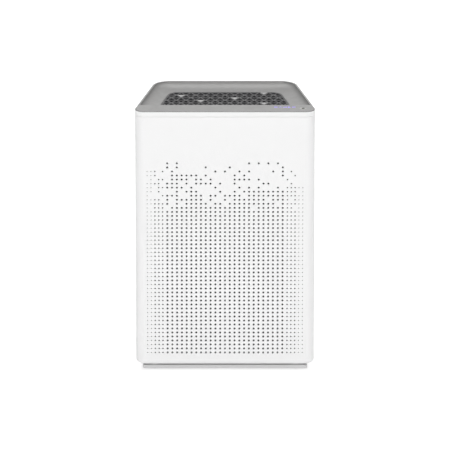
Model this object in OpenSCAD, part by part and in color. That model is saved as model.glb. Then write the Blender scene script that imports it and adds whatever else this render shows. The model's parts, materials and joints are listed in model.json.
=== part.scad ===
// Floor-standing air purifier. Front faces -Y, the object stands on Z = 0 and is centred on X = 0, Y = 0.

/* [Body] */
// Width across the front, where the side walls would meet the front
body_w = 394; // [370:1:470]
// Width across the back, where the side walls would meet the back wall
back_w = 300; // [296:1:360]
// Depth from the front panel to the back wall
body_d = 220; // [218:1:270]
// Height from the floor to the top rim
body_h = 590; // [560:1:720]
// Wall thickness of the outer shells
wall = 2.5; // [2:0.1:3]
// Radius of the upright front corners
front_r = 20; // [16:1:26]
// Radius of the upright back corners
back_r = 38; // [30:1:45]
// Radius along the bottom side edges
bottom_r = 10; // [6:0.5:13]
// Gap between neighbouring shell parts
seam = 0.5; // [0.3:0.1:0.8]

/* [Base] */
// Height of the plinth under the body
base_h = 16; // [14:1:22]
// How far the plinth stands back from the body
base_inset = 14.5; // [12:0.5:22]
// Depth of the shadow groove above the plinth
groove_in = 5; // [3:0.5:8]
// Height of the shadow groove
groove_h = 6; // [4:0.5:7]
// Radius of a rubber foot
foot_r = 12; // [9:0.5:15]
// Height of a rubber foot
foot_h = 4; // [3.5:0.5:6]

/* [Front panel] */
// How far the panel wraps back round the front corners
panel_d = 22; // [20.5:0.5:26]
// Height of the fixed band above the panel
brow_h = 12.5; // [8:0.5:16]
// Distance between hole columns
hole_px = 10.32; // [9:0.01:13]
// Distance between hole rows
hole_pz = 9.14; // [8:0.01:12]
// Radius of the full holes
hole_r = 2.2; // [1.5:0.05:2.5]
// Radius of the smaller holes in the side columns
side_hole_r = 1.6; // [1.2:0.05:1.8]
// Radius of the smallest holes in the outermost columns
edge_hole_r = 1.05; // [0.8:0.05:1.2]
// Height of the lowest row of holes
hole_z0 = 43.5; // [36:0.1:50]
// Number of rows
hole_rows = 48; // [30:1:52]
// Full-size columns each side of the middle column
hole_cols = 12; // [8:1:12]
// Places from one drilled hole to the next: 1 drills every place of the field, 2 every second one
hole_step = 2; // [1:1:4]

/* [Filters] */
// Thickness of the washable pre-filter
prefilter_t = 8; // [6:0.5:10]
// Thickness of the carbon filter
carbon_t = 10; // [8:0.5:14]
// Thickness of the pleated filter
hepa_t = 42; // [36:0.5:44]
// Height inside the filter bay
bay_h = 452; // [400:1:480]
// Distance between pleats
pleat = 9; // [7:0.5:14]
// Gap between neighbouring filters and round them in the bay
filter_gap = 0.5; // [0.4:0.1:1]

/* [Fan] */
// Height of the fan axis
fan_z = 262; // [240:1:290]
// Radius of the impeller
impeller_r = 110; // [100:1:116]
// Axial width of the impeller
impeller_w = 74; // [60:1:76]
// Radius of the air inlet of the impeller
eye_r = 92; // [84:1:94]
// Number of impeller blades
blades = 40; // [24:1:48]
// Radius of the fan duct round the impeller
duct_r = 140; // [130:1:142]
// Axial width of the fan duct
duct_w = 92; // [88:1:94]
// Radius of the motor shaft
shaft_r = 4; // [3:0.1:5]
// Running clearance between the shaft and its bearings
shaft_clear = 0.03; // [0.02:0.01:0.08]
// Outer radius of a bearing
bearing_r = 11; // [10:0.5:12]
// Width of a bearing
bearing_w = 7; // [6:0.5:8]
// Outer radius of the motor
motor_r = 46; // [40:1:50]
// Length of the motor
motor_l = 46; // [44:1:50]

/* [Top] */
// Depth of the flat control strip along the front
strip_d = 46; // [45:1:60]
// How far the outlet grille lies below the rim
sunk = 14; // [10:1:18]
// Width of the concave border round the grille
cove = 36; // [26:0.5:38]
// Thickness of the rim sheet that shows at the edge
rim_t = 2; // [1.5:0.5:3]
// Side of the triangles in the grille
tri_side = 21; // [16:0.5:28]
// Width of the ribs between the triangles
rib = 3.4; // [2.4:0.1:5]
// Thickness of the grille
grille_t = 3; // [2.5:0.5:4]
// Radius of the power button
button_r = 3.5; // [3:0.1:4.5]
// Outer radius of the ring round the button
bezel_r = 7.2; // [6.5:0.1:9]
// Travel of the power button
button_travel = 1.5; // [1:0.1:1.6]
// Place of the power button from the middle
button_x = 167; // [140:1:170]
// Place of the button behind the front
button_y = 23; // [20:1:36]
// Place of the middle of the lit icon row
icon_x = 128; // [100:1:130]
// Place of the icon row behind the front
icon_y = 30; // [28:1:42]
// Number of lit icons
icons = 5; // [3:1:6]
// Distance between lit icons
icon_pitch = 9.6; // [8:0.1:11]

/* [Hidden] */
$fn = 48;
eps = 0.01;

// Body outline in plan: a trapezoid with rounded corners
yf = -body_d / 2;
yb = body_d / 2;
lean = (body_w - back_w) / 2;
side_len = sqrt(lean * lean + body_d * body_d);
nx = body_d / side_len;
ny = lean / side_len;
side_k = nx * body_w / 2 + ny * yf;
side_angle = atan2(lean, body_d);
function half_at(y, t = 0) = (side_k - t - ny * y) / nx;
function corner_x(y, t, r) = (side_k - t - r - ny * y) / nx;

// Heights
floor_z = base_h + 0.5;
floor_t = 2.5;
inner_z = floor_z + floor_t;
panel_z1 = body_h - brow_h - seam;
panel_y1 = yf + panel_d;
shell_z1 = body_h - rim_t;
deck_gap = 0.3;
grille_z = body_h - sunk;
ledge_t = 2.5;
deck_z0 = grille_z - grille_t - ledge_t;
strip_y1 = yf + strip_d;
strip_wall = 2;

// Filter bay, from the front backwards
air_gap = 4;
bay_wall = 2.5;
bay_y0 = yf + wall + air_gap;
prefilter_y = bay_y0;
carbon_y = prefilter_y + prefilter_t + filter_gap;
hepa_y = carbon_y + carbon_t + filter_gap;
bay_y1 = hepa_y + hepa_t + filter_gap;
bulkhead_y = bay_y1 + bay_wall;
bay_z0 = 34;
bay_z1 = bay_z0 + bay_h;
bay_half = half_at(bulkhead_y, wall) - 5 - bay_wall;
filter_half = bay_half - filter_gap;
filter_h = bay_h - 2 * filter_gap;
filter_z = bay_z0 + filter_gap;
flange_y = panel_y1 + seam;
flange_t = 3;
frame_w = 10;
tab_t = 0.8;

// Magnets that hold the panel
magnet_r = 5;
magnet_t = 4;
plate_t = 1.5;
plate_r = magnet_r + 1;
magnet_gap = 0.3;
magnet_in_x = 22;
magnet_x = bay_half - magnet_in_x;
magnet_low_z = bay_z0 - bay_wall - 6.3;
magnet_high_z = (bay_z1 + panel_z1) / 2;
magnet_places = [for (x = [-magnet_x, magnet_x], z = [magnet_low_z, magnet_high_z]) [x, z]];
magnet_y1 = flange_y - magnet_gap;

// Fan
duct_y1 = bulkhead_y + duct_w;
back_plate_t = 3;
impeller_y0 = bulkhead_y + 11;
impeller_y1 = impeller_y0 + impeller_w;
shroud_t = 3;
hub_r = 16;
hub_l = 18;
nut_t = 8;
motor_y0 = duct_y1 + back_plate_t;
motor_y1 = motor_y0 + motor_l;
motor_wall = 3;
cap_t = 3;
seat_t = 2.5;
rotor_gap = 0.5;
rotor_r = 21.5;
rotor_l = 20;
rotor_y = (motor_y0 + motor_y1 - rotor_l) / 2;
shaft_y0 = impeller_y1 - hub_l - nut_t - 4;
shaft_y1 = motor_y1 - cap_t;
screw_r = 1.9;
screw_hole_r = 2;
head_r = 3.8;
head_t = 3;
motor_screw_ring = 30;
neck_r = eye_r - 4;

// Posts that carry the back wall
post_in_x = 50;
post_x = back_w / 2 - post_in_x;
post_z = [fan_z - 92, body_h - 60];
post_r = 6.5;
post_y1 = yb - 13.5;
sink_d = 10.5;
sink_r = 4.6;

// Controls
strip_t = 2;
board_z = grille_z - grille_t - 0.5;
board_t = 1.6;
button_px = button_x;
button_py = yf + button_y;
bezel_t = 4;
cap_clear = 0.2;
button_h = 6;
flange_r = 5.4;
switch_w = 5;
switch_h = 3;
spring_r = 4.5;
spring_wire = 0.35;
icon_r = 2;

module plan(t = 0, rf = front_r, rb = back_r)
{
    fy = yf + t + rf;
    by = yb - t - rb;
    fx = corner_x(fy, t, rf);
    bx = corner_x(by, t, rb);
    polygon([
        [-fx, yf + t], [fx, yf + t],
        [fx + rf * nx, fy + rf * ny], [bx + rb * nx, by + rb * ny],
        [bx, yb - t], [-bx, yb - t],
        [-bx - rb * nx, by + rb * ny], [-fx - rf * nx, fy + rf * ny]
    ]);
    for (s = [-1, 1])
    {
        translate([s * fx, fy])
            circle(r = rf);
        translate([s * bx, by])
            circle(r = rb);
    }
}

// Plan outline drawn inwards by t, with corners of the same centres
module inset_plan(t)
{
    plan(t, max(front_r - t, 2), max(back_r - t, 2));
}

module prism(t, z0, z1)
{
    translate([0, 0, z0])
        linear_extrude(z1 - z0)
            inset_plan(t);
}

// Block that lies just outside the leaning side and floor, and rounds the edge between them
module side_block(t, z0, z1)
{
    r = max(bottom_r - t, 0.5);
    proud = 0.05;
    translate([body_w / 2, yf, z0 - proud])
        rotate([0, 0, side_angle])
            translate([proud - t, side_len + 60, 0])
                rotate([90, 0, 0])
                    linear_extrude(side_len + 120)
                    {
                        translate([-2 * body_w, r])
                            square([2 * body_w, z1 - z0]);
                        translate([-2 * body_w, 0])
                            square([2 * body_w - r, z1 - z0]);
                        translate([-r, r])
                            circle(r = r);
                    }
}

// The body's outer form drawn inwards by t, with rounded bottom side edges
module body_form(t, z0, z1)
{
    intersection()
    {
        prism(t, z0, z1);
        side_block(t, z0, z1);
        mirror([1, 0, 0])
            side_block(t, z0, z1);
    }
}

// Box between two depths, wider and taller than the body
module slab(y0, y1, z0 = -10, z1 = body_h + 10)
{
    translate([-body_w, y0, z0])
        cube([2 * body_w, y1 - y0, z1 - z0]);
}

// Box that is centred on X
module mid_box(half, y0, y1, z0, z1)
{
    translate([-half, y0, z0])
        cube([2 * half, y1 - y0, z1 - z0]);
}

// Cylinder along Y from y0 to y1
module rod_y(x, z, y0, y1, r)
{
    translate([x, y1, z])
        rotate([90, 0, 0])
            cylinder(h = y1 - y0, r = r);
}

// Ring along Y from y0 to y1
module ring_y(x, z, y0, y1, r_out, r_in)
{
    difference()
    {
        rod_y(x, z, y0, y1, r_out);
        rod_y(x, z, y0 - 1, y1 + 1, r_in);
    }
}

module at_corners(x, y)
{
    for (sx = [-1, 1], sy = [-1, 1])
        translate([sx * (sy < 0 ? x[0] : x[1]), sy * y, 0])
            children();
}

foot_in_x = 45;
foot_in_y = 31;
screw_in_x = [88, 76];
foot_x = [body_w / 2 - foot_in_x, back_w / 2 - foot_in_x];
foot_y = body_d / 2 - foot_in_y;
base_screw_x = [body_w / 2 - screw_in_x[0], back_w / 2 - screw_in_x[1]];
plinth_z0 = 1.5;
plinth_wall = 3;
plinth_top = 3;

module plinth()
{
    color("gainsboro")
        difference()
        {
            union()
            {
                prism(base_inset, plinth_z0, base_h - groove_h);
                prism(base_inset + groove_in, base_h - groove_h - eps, base_h);
            }
            difference()
            {
                prism(base_inset + groove_in + plinth_wall, -1, base_h - plinth_top);
                at_corners(foot_x, foot_y)
                    translate([0, 0, foot_h])
                        cylinder(h = base_h, r = foot_r + 2);
            }
            at_corners(foot_x, foot_y)
                translate([0, 0, -1])
                    cylinder(h = foot_h + 1, r = foot_r + 0.2);
            at_corners(base_screw_x, foot_y)
                cylinder(h = base_h + 1, r = screw_hole_r);
        }
}

module feet()
{
    color("dimgray")
        at_corners(foot_x, foot_y)
            cylinder(h = foot_h, r = foot_r);
}

// Screw standing head down on the plane z = 0
module screw(l)
{
    difference()
    {
        union()
        {
            translate([0, 0, -head_t])
                cylinder(h = head_t, r = head_r);
            translate([0, 0, -eps])
                cylinder(h = l, r = screw_r);
        }
        for (a = [0, 90])
            rotate([0, 0, a])
                translate([-2.2, -0.4, -head_t - 1])
                    cube([4.4, 0.8, 2.2]);
    }
}

module base_screws()
{
    color("silver")
        at_corners(base_screw_x, foot_y)
            translate([0, 0, base_h - plinth_top])
                screw(13);
}

inlet_w = 26;
inlet_h = 16;
inlet_in_x = 84;
inlet_x = inlet_in_x - back_w / 2;
inlet_z = 52;
vent_z = fan_z + 78;
vent_slots = 5;
vent_step = 7;
vent_h = 3;
vent_d = 24;
vent_y = -28;
vent_x = half_at(vent_y + vent_d, wall) - 1;

module rear_housing()
{
    color("white")
        difference()
        {
            union()
            {
                difference()
                {
                    body_form(0, base_h, shell_z1);
                    body_form(wall, inner_z, shell_z1 + 20);
                    slab(yf - 1, flange_y - eps, base_h - 1, panel_z1 + seam);
                }
                intersection()
                {
                    body_form(wall + seam, floor_z, inner_z);
                    slab(yf, flange_y + 1);
                }
                for (x = [-post_x, post_x], z = post_z)
                    rod_y(x, z, post_y1, yb - wall + eps, post_r);
                at_corners(base_screw_x, foot_y)
                    translate([0, 0, inner_z - eps])
                        cylinder(h = 9, r = 5);
            }
            for (x = [-post_x, post_x], z = post_z)
            {
                rod_y(x, z, yb - sink_d, yb + 1, sink_r);
                rod_y(x, z, post_y1 - 1, yb, screw_hole_r);
            }
            at_corners(base_screw_x, foot_y)
                translate([0, 0, base_h - 1])
                    cylinder(h = 16, r = screw_hole_r);
            translate([inlet_x - inlet_w / 2 - 0.2, yb - wall - 1, inlet_z - inlet_h / 2 - 0.2])
                cube([inlet_w + 0.4, wall + 2, inlet_h + 0.4]);
            for (i = [0:vent_slots - 1])
                translate([vent_x, vent_y, vent_z + vent_step * i])
                    cube([half_at(vent_y) + 1 - vent_x, vent_d, vent_h]);
        }
}

module rear_screws()
{
    color("silver")
        for (x = [-post_x, post_x], z = post_z)
            translate([x, yb - sink_d, z])
                rotate([90, 0, 0])
                    screw(22);
}

// The field of holes thins out upwards: the chance that a place is drilled falls row by row
fade_rows = 12;
side_cols = 3;
edge_cols = 2;
side_step = 0.8 * hole_px;
first_side = hole_px * (hole_cols + 0.97);
function luck(row, c) = let (v = abs(sin(127.1 * row + 311.7 * c)) * 437.585) v - floor(v);
function chance(row) = 0.14 + 0.86 * (hole_rows - 1 - row) / fade_rows;
function drilled(row, c) = luck(row, c) < chance(row);
function column_x(c) =
    let (n = abs(c) - hole_cols)
    sign(c) * (n <= 0 ? abs(c) * hole_px : first_side + (n - 1) * side_step);
function column_r(c) =
    let (n = abs(c) - hole_cols)
    n <= 0 ? hole_r : n <= side_cols ? side_hole_r : edge_hole_r;

module hole_field()
{
    last = hole_cols + side_cols + edge_cols;
    for (row = [0:hole_step:hole_rows - 1], c = [-last:last])
        if ((c + last) % hole_step == last % hole_step && drilled(row, c))
            translate([column_x(c), hole_z0 + row * hole_pz])
                circle(r = column_r(c), $fn = 16);
}

module front_panel()
{
    flat = corner_x(yf + front_r, 0, front_r) - 2;
    color("white")
        difference()
        {
            union()
            {
                difference()
                {
                    intersection()
                    {
                        body_form(0, base_h, body_h);
                        slab(yf - 1, panel_y1, base_h, panel_z1);
                    }
                    body_form(wall, base_h - 1, body_h + 1);
                    mid_box(flat, yf - 1, yf + wall + 1, base_h - 1, body_h);
                }
                translate([0, yf + wall, 0])
                    rotate([90, 0, 0])
                        linear_extrude(wall)
                            difference()
                            {
                                translate([-flat, base_h])
                                    square([2 * flat, panel_z1 - base_h]);
                                hole_field();
                            }
                for (m = magnet_places)
                    rod_y(m[0], m[1], yf + wall - eps, magnet_y1, magnet_r + 1);
            }
            for (m = magnet_places)
                rod_y(m[0], m[1], magnet_y1 - magnet_t, magnet_y1 + 1, magnet_r);
        }
}

module panel_magnets()
{
    color("slategray")
        for (m = magnet_places)
            rod_y(m[0], m[1], magnet_y1 - magnet_t, magnet_y1, magnet_r);
}

module filter_bay()
{
    color("whitesmoke")
        difference()
        {
            union()
            {
                mid_box(bay_half + bay_wall, bay_y0, bulkhead_y, bay_z0 - bay_wall, bay_z1 + bay_wall);
                intersection()
                {
                    body_form(wall, inner_z, deck_z0);
                    slab(flange_y, flange_y + flange_t);
                }
                mid_box(duct_r + bay_wall, bay_y1, bulkhead_y, bay_z1, deck_z0);
            }
            mid_box(bay_half, bay_y0 - 1, bay_y1, bay_z0, bay_z1);
            rod_y(0, fan_z, bay_y1 - 1, bulkhead_y + 1, neck_r);
            for (m = magnet_places)
                rod_y(m[0], m[1], flange_y - 1, flange_y + plate_t, plate_r);
        }
}

module catch_plates()
{
    color("silver")
        for (m = magnet_places)
            rod_y(m[0], m[1], flange_y, flange_y + plate_t, plate_r);
}

door_box = [20, 12, 10];
lever_box = [6, 8, 3];
module door_switch()
{
    z = bay_z1 + bay_wall;
    color("black")
    {
        translate([-door_box[0] / 2, flange_y + flange_t, z])
            cube(door_box);
        translate([-lever_box[0] / 2, flange_y + flange_t, z + door_box[2] - eps])
            cube(lever_box);
    }
}

// Rectangular filter frame with a window
module filter_frame(y0, t, bar)
{
    difference()
    {
        mid_box(filter_half, y0, y0 + t, filter_z, filter_z + filter_h);
        mid_box(filter_half - bar, y0 - 1, y0 + t + 1, filter_z + bar, filter_z + filter_h - bar);
    }
}

bar_w = 3;
net_in = 3;
module prefilter_frame()
{
    color("lightgray")
        union()
        {
            filter_frame(prefilter_y, prefilter_t, frame_w);
            for (i = [-2:2])
                mid_box_at(i * filter_half / 3, bar_w / 2, prefilter_y, prefilter_y + prefilter_t - net_in,
                    filter_z + frame_w - eps, filter_z + filter_h - frame_w + eps);
            for (i = [1:5])
                mid_box(filter_half - frame_w + eps, prefilter_y, prefilter_y + prefilter_t - net_in,
                    filter_z + i * filter_h / 6 - bar_w / 2, filter_z + i * filter_h / 6 + bar_w / 2);
        }
}

module mid_box_at(x, half, y0, y1, z0, z1)
{
    translate([x, 0, 0])
        mid_box(half, y0, y1, z0, z1);
}

module prefilter_mesh()
{
    y = prefilter_y + prefilter_t - net_in;
    color("darkgray")
        mid_box(filter_half - frame_w, y, y + 1, filter_z + frame_w, filter_z + filter_h - frame_w);
}

module carbon_frame()
{
    color("gray")
        filter_frame(carbon_y, carbon_t, frame_w);
}

module carbon_core()
{
    color("black")
        mid_box(filter_half - frame_w, carbon_y + 1, carbon_y + carbon_t - 1,
            filter_z + frame_w, filter_z + filter_h - frame_w);
}

module hepa_frame()
{
    color("white")
        filter_frame(hepa_y, hepa_t, frame_w);
}

// Folded sheet: the outline runs along one face of the pleats and back along the other
module hepa_pleats()
{
    half = filter_half - frame_w;
    n = floor(2 * half / pleat);
    step = 2 * half / n;
    fold_t = 3;
    y0 = hepa_y + 3;
    y1 = hepa_y + hepa_t - 3;
    color("ivory")
        translate([0, 0, filter_z + frame_w])
            linear_extrude(filter_h - 2 * frame_w)
                polygon(concat(
                    [for (i = [0:2 * n]) [-half + i * step / 2, i % 2 == 0 ? y0 : y1 - fold_t]],
                    [for (i = [2 * n:-1:0]) [-half + i * step / 2, i % 2 == 0 ? y0 + fold_t : y1]]
                ));
}

module pull_tabs()
{
    z = filter_z + filter_h - frame_w / 2;
    color("royalblue")
        for (x = [-filter_half / 2, filter_half / 2])
            mid_box_at(x, 12, hepa_y - tab_t / 2 + 0.15, hepa_y, z - 34, z);
}

module inlet_guard()
{
    guard_rings = 5;
    wire = 1.6;
    color("silver")
        union()
        {
            for (i = [1:guard_rings])
                ring_y(0, fan_z, bay_y1, bulkhead_y, i * neck_r / guard_rings,
                    i * neck_r / guard_rings - wire);
            for (a = [0:60:120])
                translate([0, 0, fan_z])
                    rotate([0, a, 0])
                        translate([wire / 2 - neck_r, bay_y1, -wire / 2])
                            cube([2 * neck_r - wire, bay_wall, wire]);
        }
}

module inlet_ring()
{
    y = bulkhead_y;
    color("dimgray")
        translate([0, y, fan_z])
            rotate([-90, 0, 0])
                rotate_extrude()
                    polygon([
                        [neck_r - 2.5, 13], [neck_r, 13], [neck_r, 4],
                        [neck_r + 2, 2.5], [neck_r + 16, 2.5], [neck_r + 16, 0], [neck_r - 2.5, 0]
                    ]);
}

// Duct outline: round under the fan, straight up to the outlet
module duct_plan(r)
{
    circle(r = r, $fn = 96);
    translate([-r, 0])
        square([2 * r, deck_z0 - fan_z]);
}

module duct_solid(r, y0, y1)
{
    translate([0, y1, fan_z])
        rotate([90, 0, 0])
            linear_extrude(y1 - y0)
                duct_plan(r);
}

module fan_duct()
{
    tongue_w = duct_r - impeller_r - 6;
    color("dimgray")
        union()
        {
            difference()
            {
                duct_solid(duct_r + bay_wall, bulkhead_y, duct_y1);
                translate([0, 0, eps])
                    duct_solid(duct_r, bulkhead_y - 1, duct_y1 + 1);
                mid_box(duct_r, bulkhead_y - 1, duct_y1 + 1, fan_z, body_h);
            }
            translate([0, duct_y1, fan_z])
                rotate([90, 0, 0])
                    linear_extrude(duct_w)
                        difference()
                        {
                            translate([-duct_r - eps, 20])
                                square([tongue_w, 110]);
                            circle(r = impeller_r + 8, $fn = 96);
                        }
        }
}

module duct_back()
{
    color("dimgray")
        difference()
        {
            union()
            {
                duct_solid(duct_r + bay_wall, duct_y1, duct_y1 + back_plate_t);
                for (x = [-post_x, post_x], z = post_z)
                    rod_y(x, z, duct_y1 + back_plate_t - eps, post_y1, post_r);
            }
            rod_y(0, fan_z, duct_y1 - 1, motor_y0 + 1, hub_r + 2);
            for (a = [45:90:315])
                rod_y(motor_screw_ring * cos(a), fan_z + motor_screw_ring * sin(a),
                    duct_y1 - 1, motor_y0 + 1, screw_hole_r);
            for (x = [-post_x, post_x], z = post_z)
                rod_y(x, z, post_y1 - 20, post_y1 + 1, screw_hole_r);
        }
}

blade_t = 1.4;
blade_arc_r = 16;

// One blade: a short arc that leans forward in the turning direction
module blade_section()
{
    mid = (impeller_r + eye_r) / 2;
    intersection()
    {
        difference()
        {
            circle(r = impeller_r - 1, $fn = 96);
            circle(r = eye_r + 1, $fn = 96);
        }
        translate([mid + 3, -blade_arc_r + 2])
            difference()
            {
                circle(r = blade_arc_r);
                circle(r = blade_arc_r - blade_t);
                translate([-2 * blade_arc_r, -4 * blade_arc_r + 2])
                    square([4 * blade_arc_r, 4 * blade_arc_r]);
            }
    }
}

module impeller()
{
    color("dimgray")
        difference()
        {
            union()
            {
                rod_y(0, fan_z, impeller_y1 - shroud_t, impeller_y1, impeller_r);
                rod_y(0, fan_z, impeller_y1 - hub_l, impeller_y1, hub_r);
                ring_y(0, fan_z, impeller_y0, impeller_y0 + shroud_t, impeller_r, eye_r);
                translate([0, impeller_y1 - shroud_t / 2, fan_z])
                    rotate([90, 0, 0])
                        linear_extrude(impeller_w - shroud_t)
                            for (i = [0:blades - 1])
                                rotate(i * 360 / blades)
                                    blade_section();
            }
            rod_y(0, fan_z, impeller_y1 - hub_l - 1, impeller_y1 + 1, shaft_r);
        }
}

module impeller_nut()
{
    y1 = impeller_y1 - hub_l;
    color("silver")
        difference()
        {
            translate([0, y1, fan_z])
                rotate([90, 0, 0])
                    cylinder(h = nut_t, r = 8, $fn = 6);
            rod_y(0, fan_z, y1 - nut_t - 1, y1 + 1, shaft_r);
        }
}

module motor_shaft()
{
    color("silver")
        rod_y(0, fan_z, shaft_y0, shaft_y1, shaft_r);
}

module motor_rotor()
{
    color("slategray")
        ring_y(0, fan_z, rotor_y, rotor_y + rotor_l, rotor_r, shaft_r);
}

module motor_stator()
{
    teeth = 6;
    color("peru")
        difference()
        {
            rod_y(0, fan_z, rotor_y, rotor_y + rotor_l, motor_r - motor_wall);
            rod_y(0, fan_z, rotor_y - 1, rotor_y + rotor_l + 1, rotor_r + rotor_gap);
            for (a = [0:360 / teeth:359])
                translate([0, 0, fan_z])
                    rotate([0, a, 0])
                        rod_y(31, 0, rotor_y - 1, rotor_y + rotor_l + 1, 5);
        }
}

// Cup that carries the front bearing
module motor_housing()
{
    y_seat = motor_y0 + motor_wall + bearing_w;
    color("gray")
        difference()
        {
            rod_y(0, fan_z, motor_y0, motor_y1 - cap_t, motor_r);
            difference()
            {
                rod_y(0, fan_z, motor_y0 + motor_wall, motor_y1, motor_r - motor_wall);
                rod_y(0, fan_z, motor_y0, y_seat, bearing_r + seat_t);
            }
            rod_y(0, fan_z, motor_y0 + motor_wall, y_seat + 1, bearing_r);
            rod_y(0, fan_z, motor_y0 - 1, motor_y0 + motor_wall + 1, bearing_r - 3);
            for (a = [45:90:315])
                rod_y(motor_screw_ring * cos(a), fan_z + motor_screw_ring * sin(a),
                    motor_y0 - 1, motor_y0 + motor_wall + 1, screw_hole_r);
        }
}

module motor_cap()
{
    y0 = motor_y1 - cap_t;
    color("gray")
        difference()
        {
            union()
            {
                rod_y(0, fan_z, y0, motor_y1, motor_r);
                rod_y(0, fan_z, y0 - bearing_w, y0 + eps, bearing_r + seat_t);
            }
            rod_y(0, fan_z, y0 - bearing_w - 1, y0, bearing_r);
        }
}

module bearing(y)
{
    color("silver")
        ring_y(0, fan_z, y, y + bearing_w, bearing_r, shaft_r + shaft_clear);
}

module bearing_front()
{
    bearing(motor_y0 + motor_wall);
}

module bearing_rear()
{
    bearing(motor_y1 - cap_t - bearing_w);
}

module motor_screws()
{
    color("silver")
        for (a = [45:90:315])
            translate([motor_screw_ring * cos(a), duct_y1, fan_z + motor_screw_ring * sin(a)])
                rotate([-90, 0, 0])
                    screw(back_plate_t + motor_wall + 2);
}

ionizer_box = [12, 30, 40];
needle_l = 8;
needle_r = 0.8;
module ionizer()
{
    y = bulkhead_y + 30;
    z = deck_z0 - 80;
    color("whitesmoke")
    {
        translate([duct_r - ionizer_box[0], y, z])
            cube(ionizer_box);
        for (dz = [12, 28])
            translate([duct_r - ionizer_box[0] - needle_l, y + ionizer_box[1] / 2, z + dz])
                rotate([0, 90, 0])
                    cylinder(h = needle_l + eps, r = needle_r);
    }
}

sensor_d = 46;
sensor_h = 40;
sensor_gap = 2.5;
module dust_sensor()
{
    x0 = duct_r + bay_wall;
    y0 = bulkhead_y + 1;
    w = half_at(y0 + sensor_d, wall) - sensor_gap - x0;
    color("black")
        difference()
        {
            translate([x0, y0, vent_z - 6])
                cube([w, sensor_d, sensor_h]);
            translate([x0 + w - 6, y0 + sensor_d / 2, vent_z + 14])
                rotate([0, 90, 0])
                    cylinder(h = 10, r = 5);
        }
}

board_w = 140;
board_d = 80;
board_x = -100;
board_y = -20;
board_up = 11;
// Blocks on the power board: place across and back, then width, depth and height
board_blocks = [[12, 12, 32, 28, 26], [60, 10, 20, 14, 14], [100, 10, 4, 50, 30]];
capacitor_x = [58, 80];
capacitor_y = 52;
capacitor_h = 28;
capacitor_r = 8;
post_in = 5;
cover_gap = 4;
cover_t = 2;
cover_h = 58;

module power_board()
{
    z = inner_z + board_up;
    color("darkgreen")
        union()
        {
            translate([board_x, board_y, z])
                cube([board_w, board_d, board_t]);
            for (b = board_blocks)
                translate([board_x + b[0], board_y + b[1], z])
                    cube([b[2], b[3], b[4]]);
            for (x = capacitor_x)
                translate([board_x + x, board_y + capacitor_y, z])
                    cylinder(h = capacitor_h, r = capacitor_r);
            for (x = [post_in, board_w - post_in], y = [post_in, board_d - post_in])
                translate([board_x + x, board_y + y, inner_z])
                    cylinder(h = board_up + eps, r = 3);
        }
}

module board_cover()
{
    out = cover_gap + cover_t;
    color("lightgray")
        difference()
        {
            translate([board_x - out, board_y - out, inner_z])
                cube([board_w + 2 * out, board_d + 2 * out, cover_h]);
            translate([board_x - cover_gap, board_y - cover_gap, inner_z - 1])
                cube([board_w + 2 * cover_gap, board_d + 2 * cover_gap, cover_h + 1 - cover_t]);
        }
}

pin_r = 1.2;
pin_half = 4.3;
socket_d = 14;
socket_wall = 3;
inlet_flange = 5;

module cord_inlet()
{
    color("black")
        union()
        {
            difference()
            {
                union()
                {
                    translate([inlet_x - inlet_w / 2, yb - 0.5 - socket_d - 4, inlet_z - inlet_h / 2])
                        cube([inlet_w, socket_d + 4, inlet_h]);
                    translate([inlet_x, yb - wall - 1.5, inlet_z])
                        cube([inlet_w + 2 * inlet_flange, 3, inlet_h + 2 * inlet_flange], center = true);
                }
                translate([inlet_x - inlet_w / 2 + socket_wall, yb - 0.5 - socket_d,
                    inlet_z - inlet_h / 2 + socket_wall])
                    cube([inlet_w - 2 * socket_wall, socket_d + 1, inlet_h - 2 * socket_wall]);
            }
            for (s = [-1, 1])
                rod_y(inlet_x + s * pin_half, inlet_z, yb - 0.5 - socket_d - eps, yb - 4, pin_r);
        }
}

cove_steps = 5;
rim_edge = 4.5;

// One level of the cove: a quarter ellipse that drops from the rim and flattens towards the grille
module cove_level(i)
{
    a = i * 90 / cove_steps;
    t = rim_edge + (cove - rim_edge) * (1 - cos(a));
    z = body_h - sunk * sin(a);
    translate([0, 0, z - (i == cove_steps ? eps : 0)])
        linear_extrude(i == 0 ? 4 : 2 * eps)
            plan(t, 4, back_r - rim_edge - 5 * (1 - cos(a)), $fn = 32);
}

module basin()
{
    intersection()
    {
        for (i = [0:cove_steps - 1])
            hull()
            {
                cove_level(i);
                cove_level(i + 1);
            }
        slab(strip_y1, yb, grille_z - 1, body_h + 5);
    }
}

grille_land = 1.5;

// Outline of the grille's opening, drawn inwards by t
module grille_plan(t)
{
    intersection()
    {
        plan(cove + grille_land + t, 4, back_r - rim_edge - 5 - grille_land - t);
        translate([-body_w, strip_y1 + grille_land + t])
            square([2 * body_w, body_d]);
    }
}

module top_deck()
{
    skirt = wall + deck_gap;
    color("silver")
        difference()
        {
            union()
            {
                prism(0, shell_z1, body_h);
                prism(skirt, deck_z0, shell_z1 + eps);
            }
            basin();
            translate([0, 0, grille_z - grille_t])
                linear_extrude(grille_t + 1)
                    grille_plan(0);
            translate([0, 0, deck_z0 - 1])
                linear_extrude(grille_t + ledge_t + 2)
                    grille_plan(3);
            intersection()
            {
                prism(skirt + 2, deck_z0 - 1, body_h - strip_t);
                slab(yf, strip_y1 - strip_wall);
            }
            translate([button_px, button_py, body_h - bezel_t])
                cylinder(h = bezel_t + 1, r = bezel_r);
            translate([icon_x, yf + icon_y, body_h - strip_t - 1])
                for (i = [0:icons - 1])
                    translate([(i - (icons - 1) / 2) * icon_pitch, 0, 0])
                        cylinder(h = strip_t + 2, r = icon_r);
            translate([-trim_x, yf + trim_y, body_h - trim_t])
                translate([-trim_w / 2, -trim_d / 2, 0])
                    cube([trim_w, trim_d, 2]);
        }
}

trim_w = 30;
trim_d = 3;
trim_t = 0.6;
trim_x = 146;
trim_y = 23;

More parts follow.
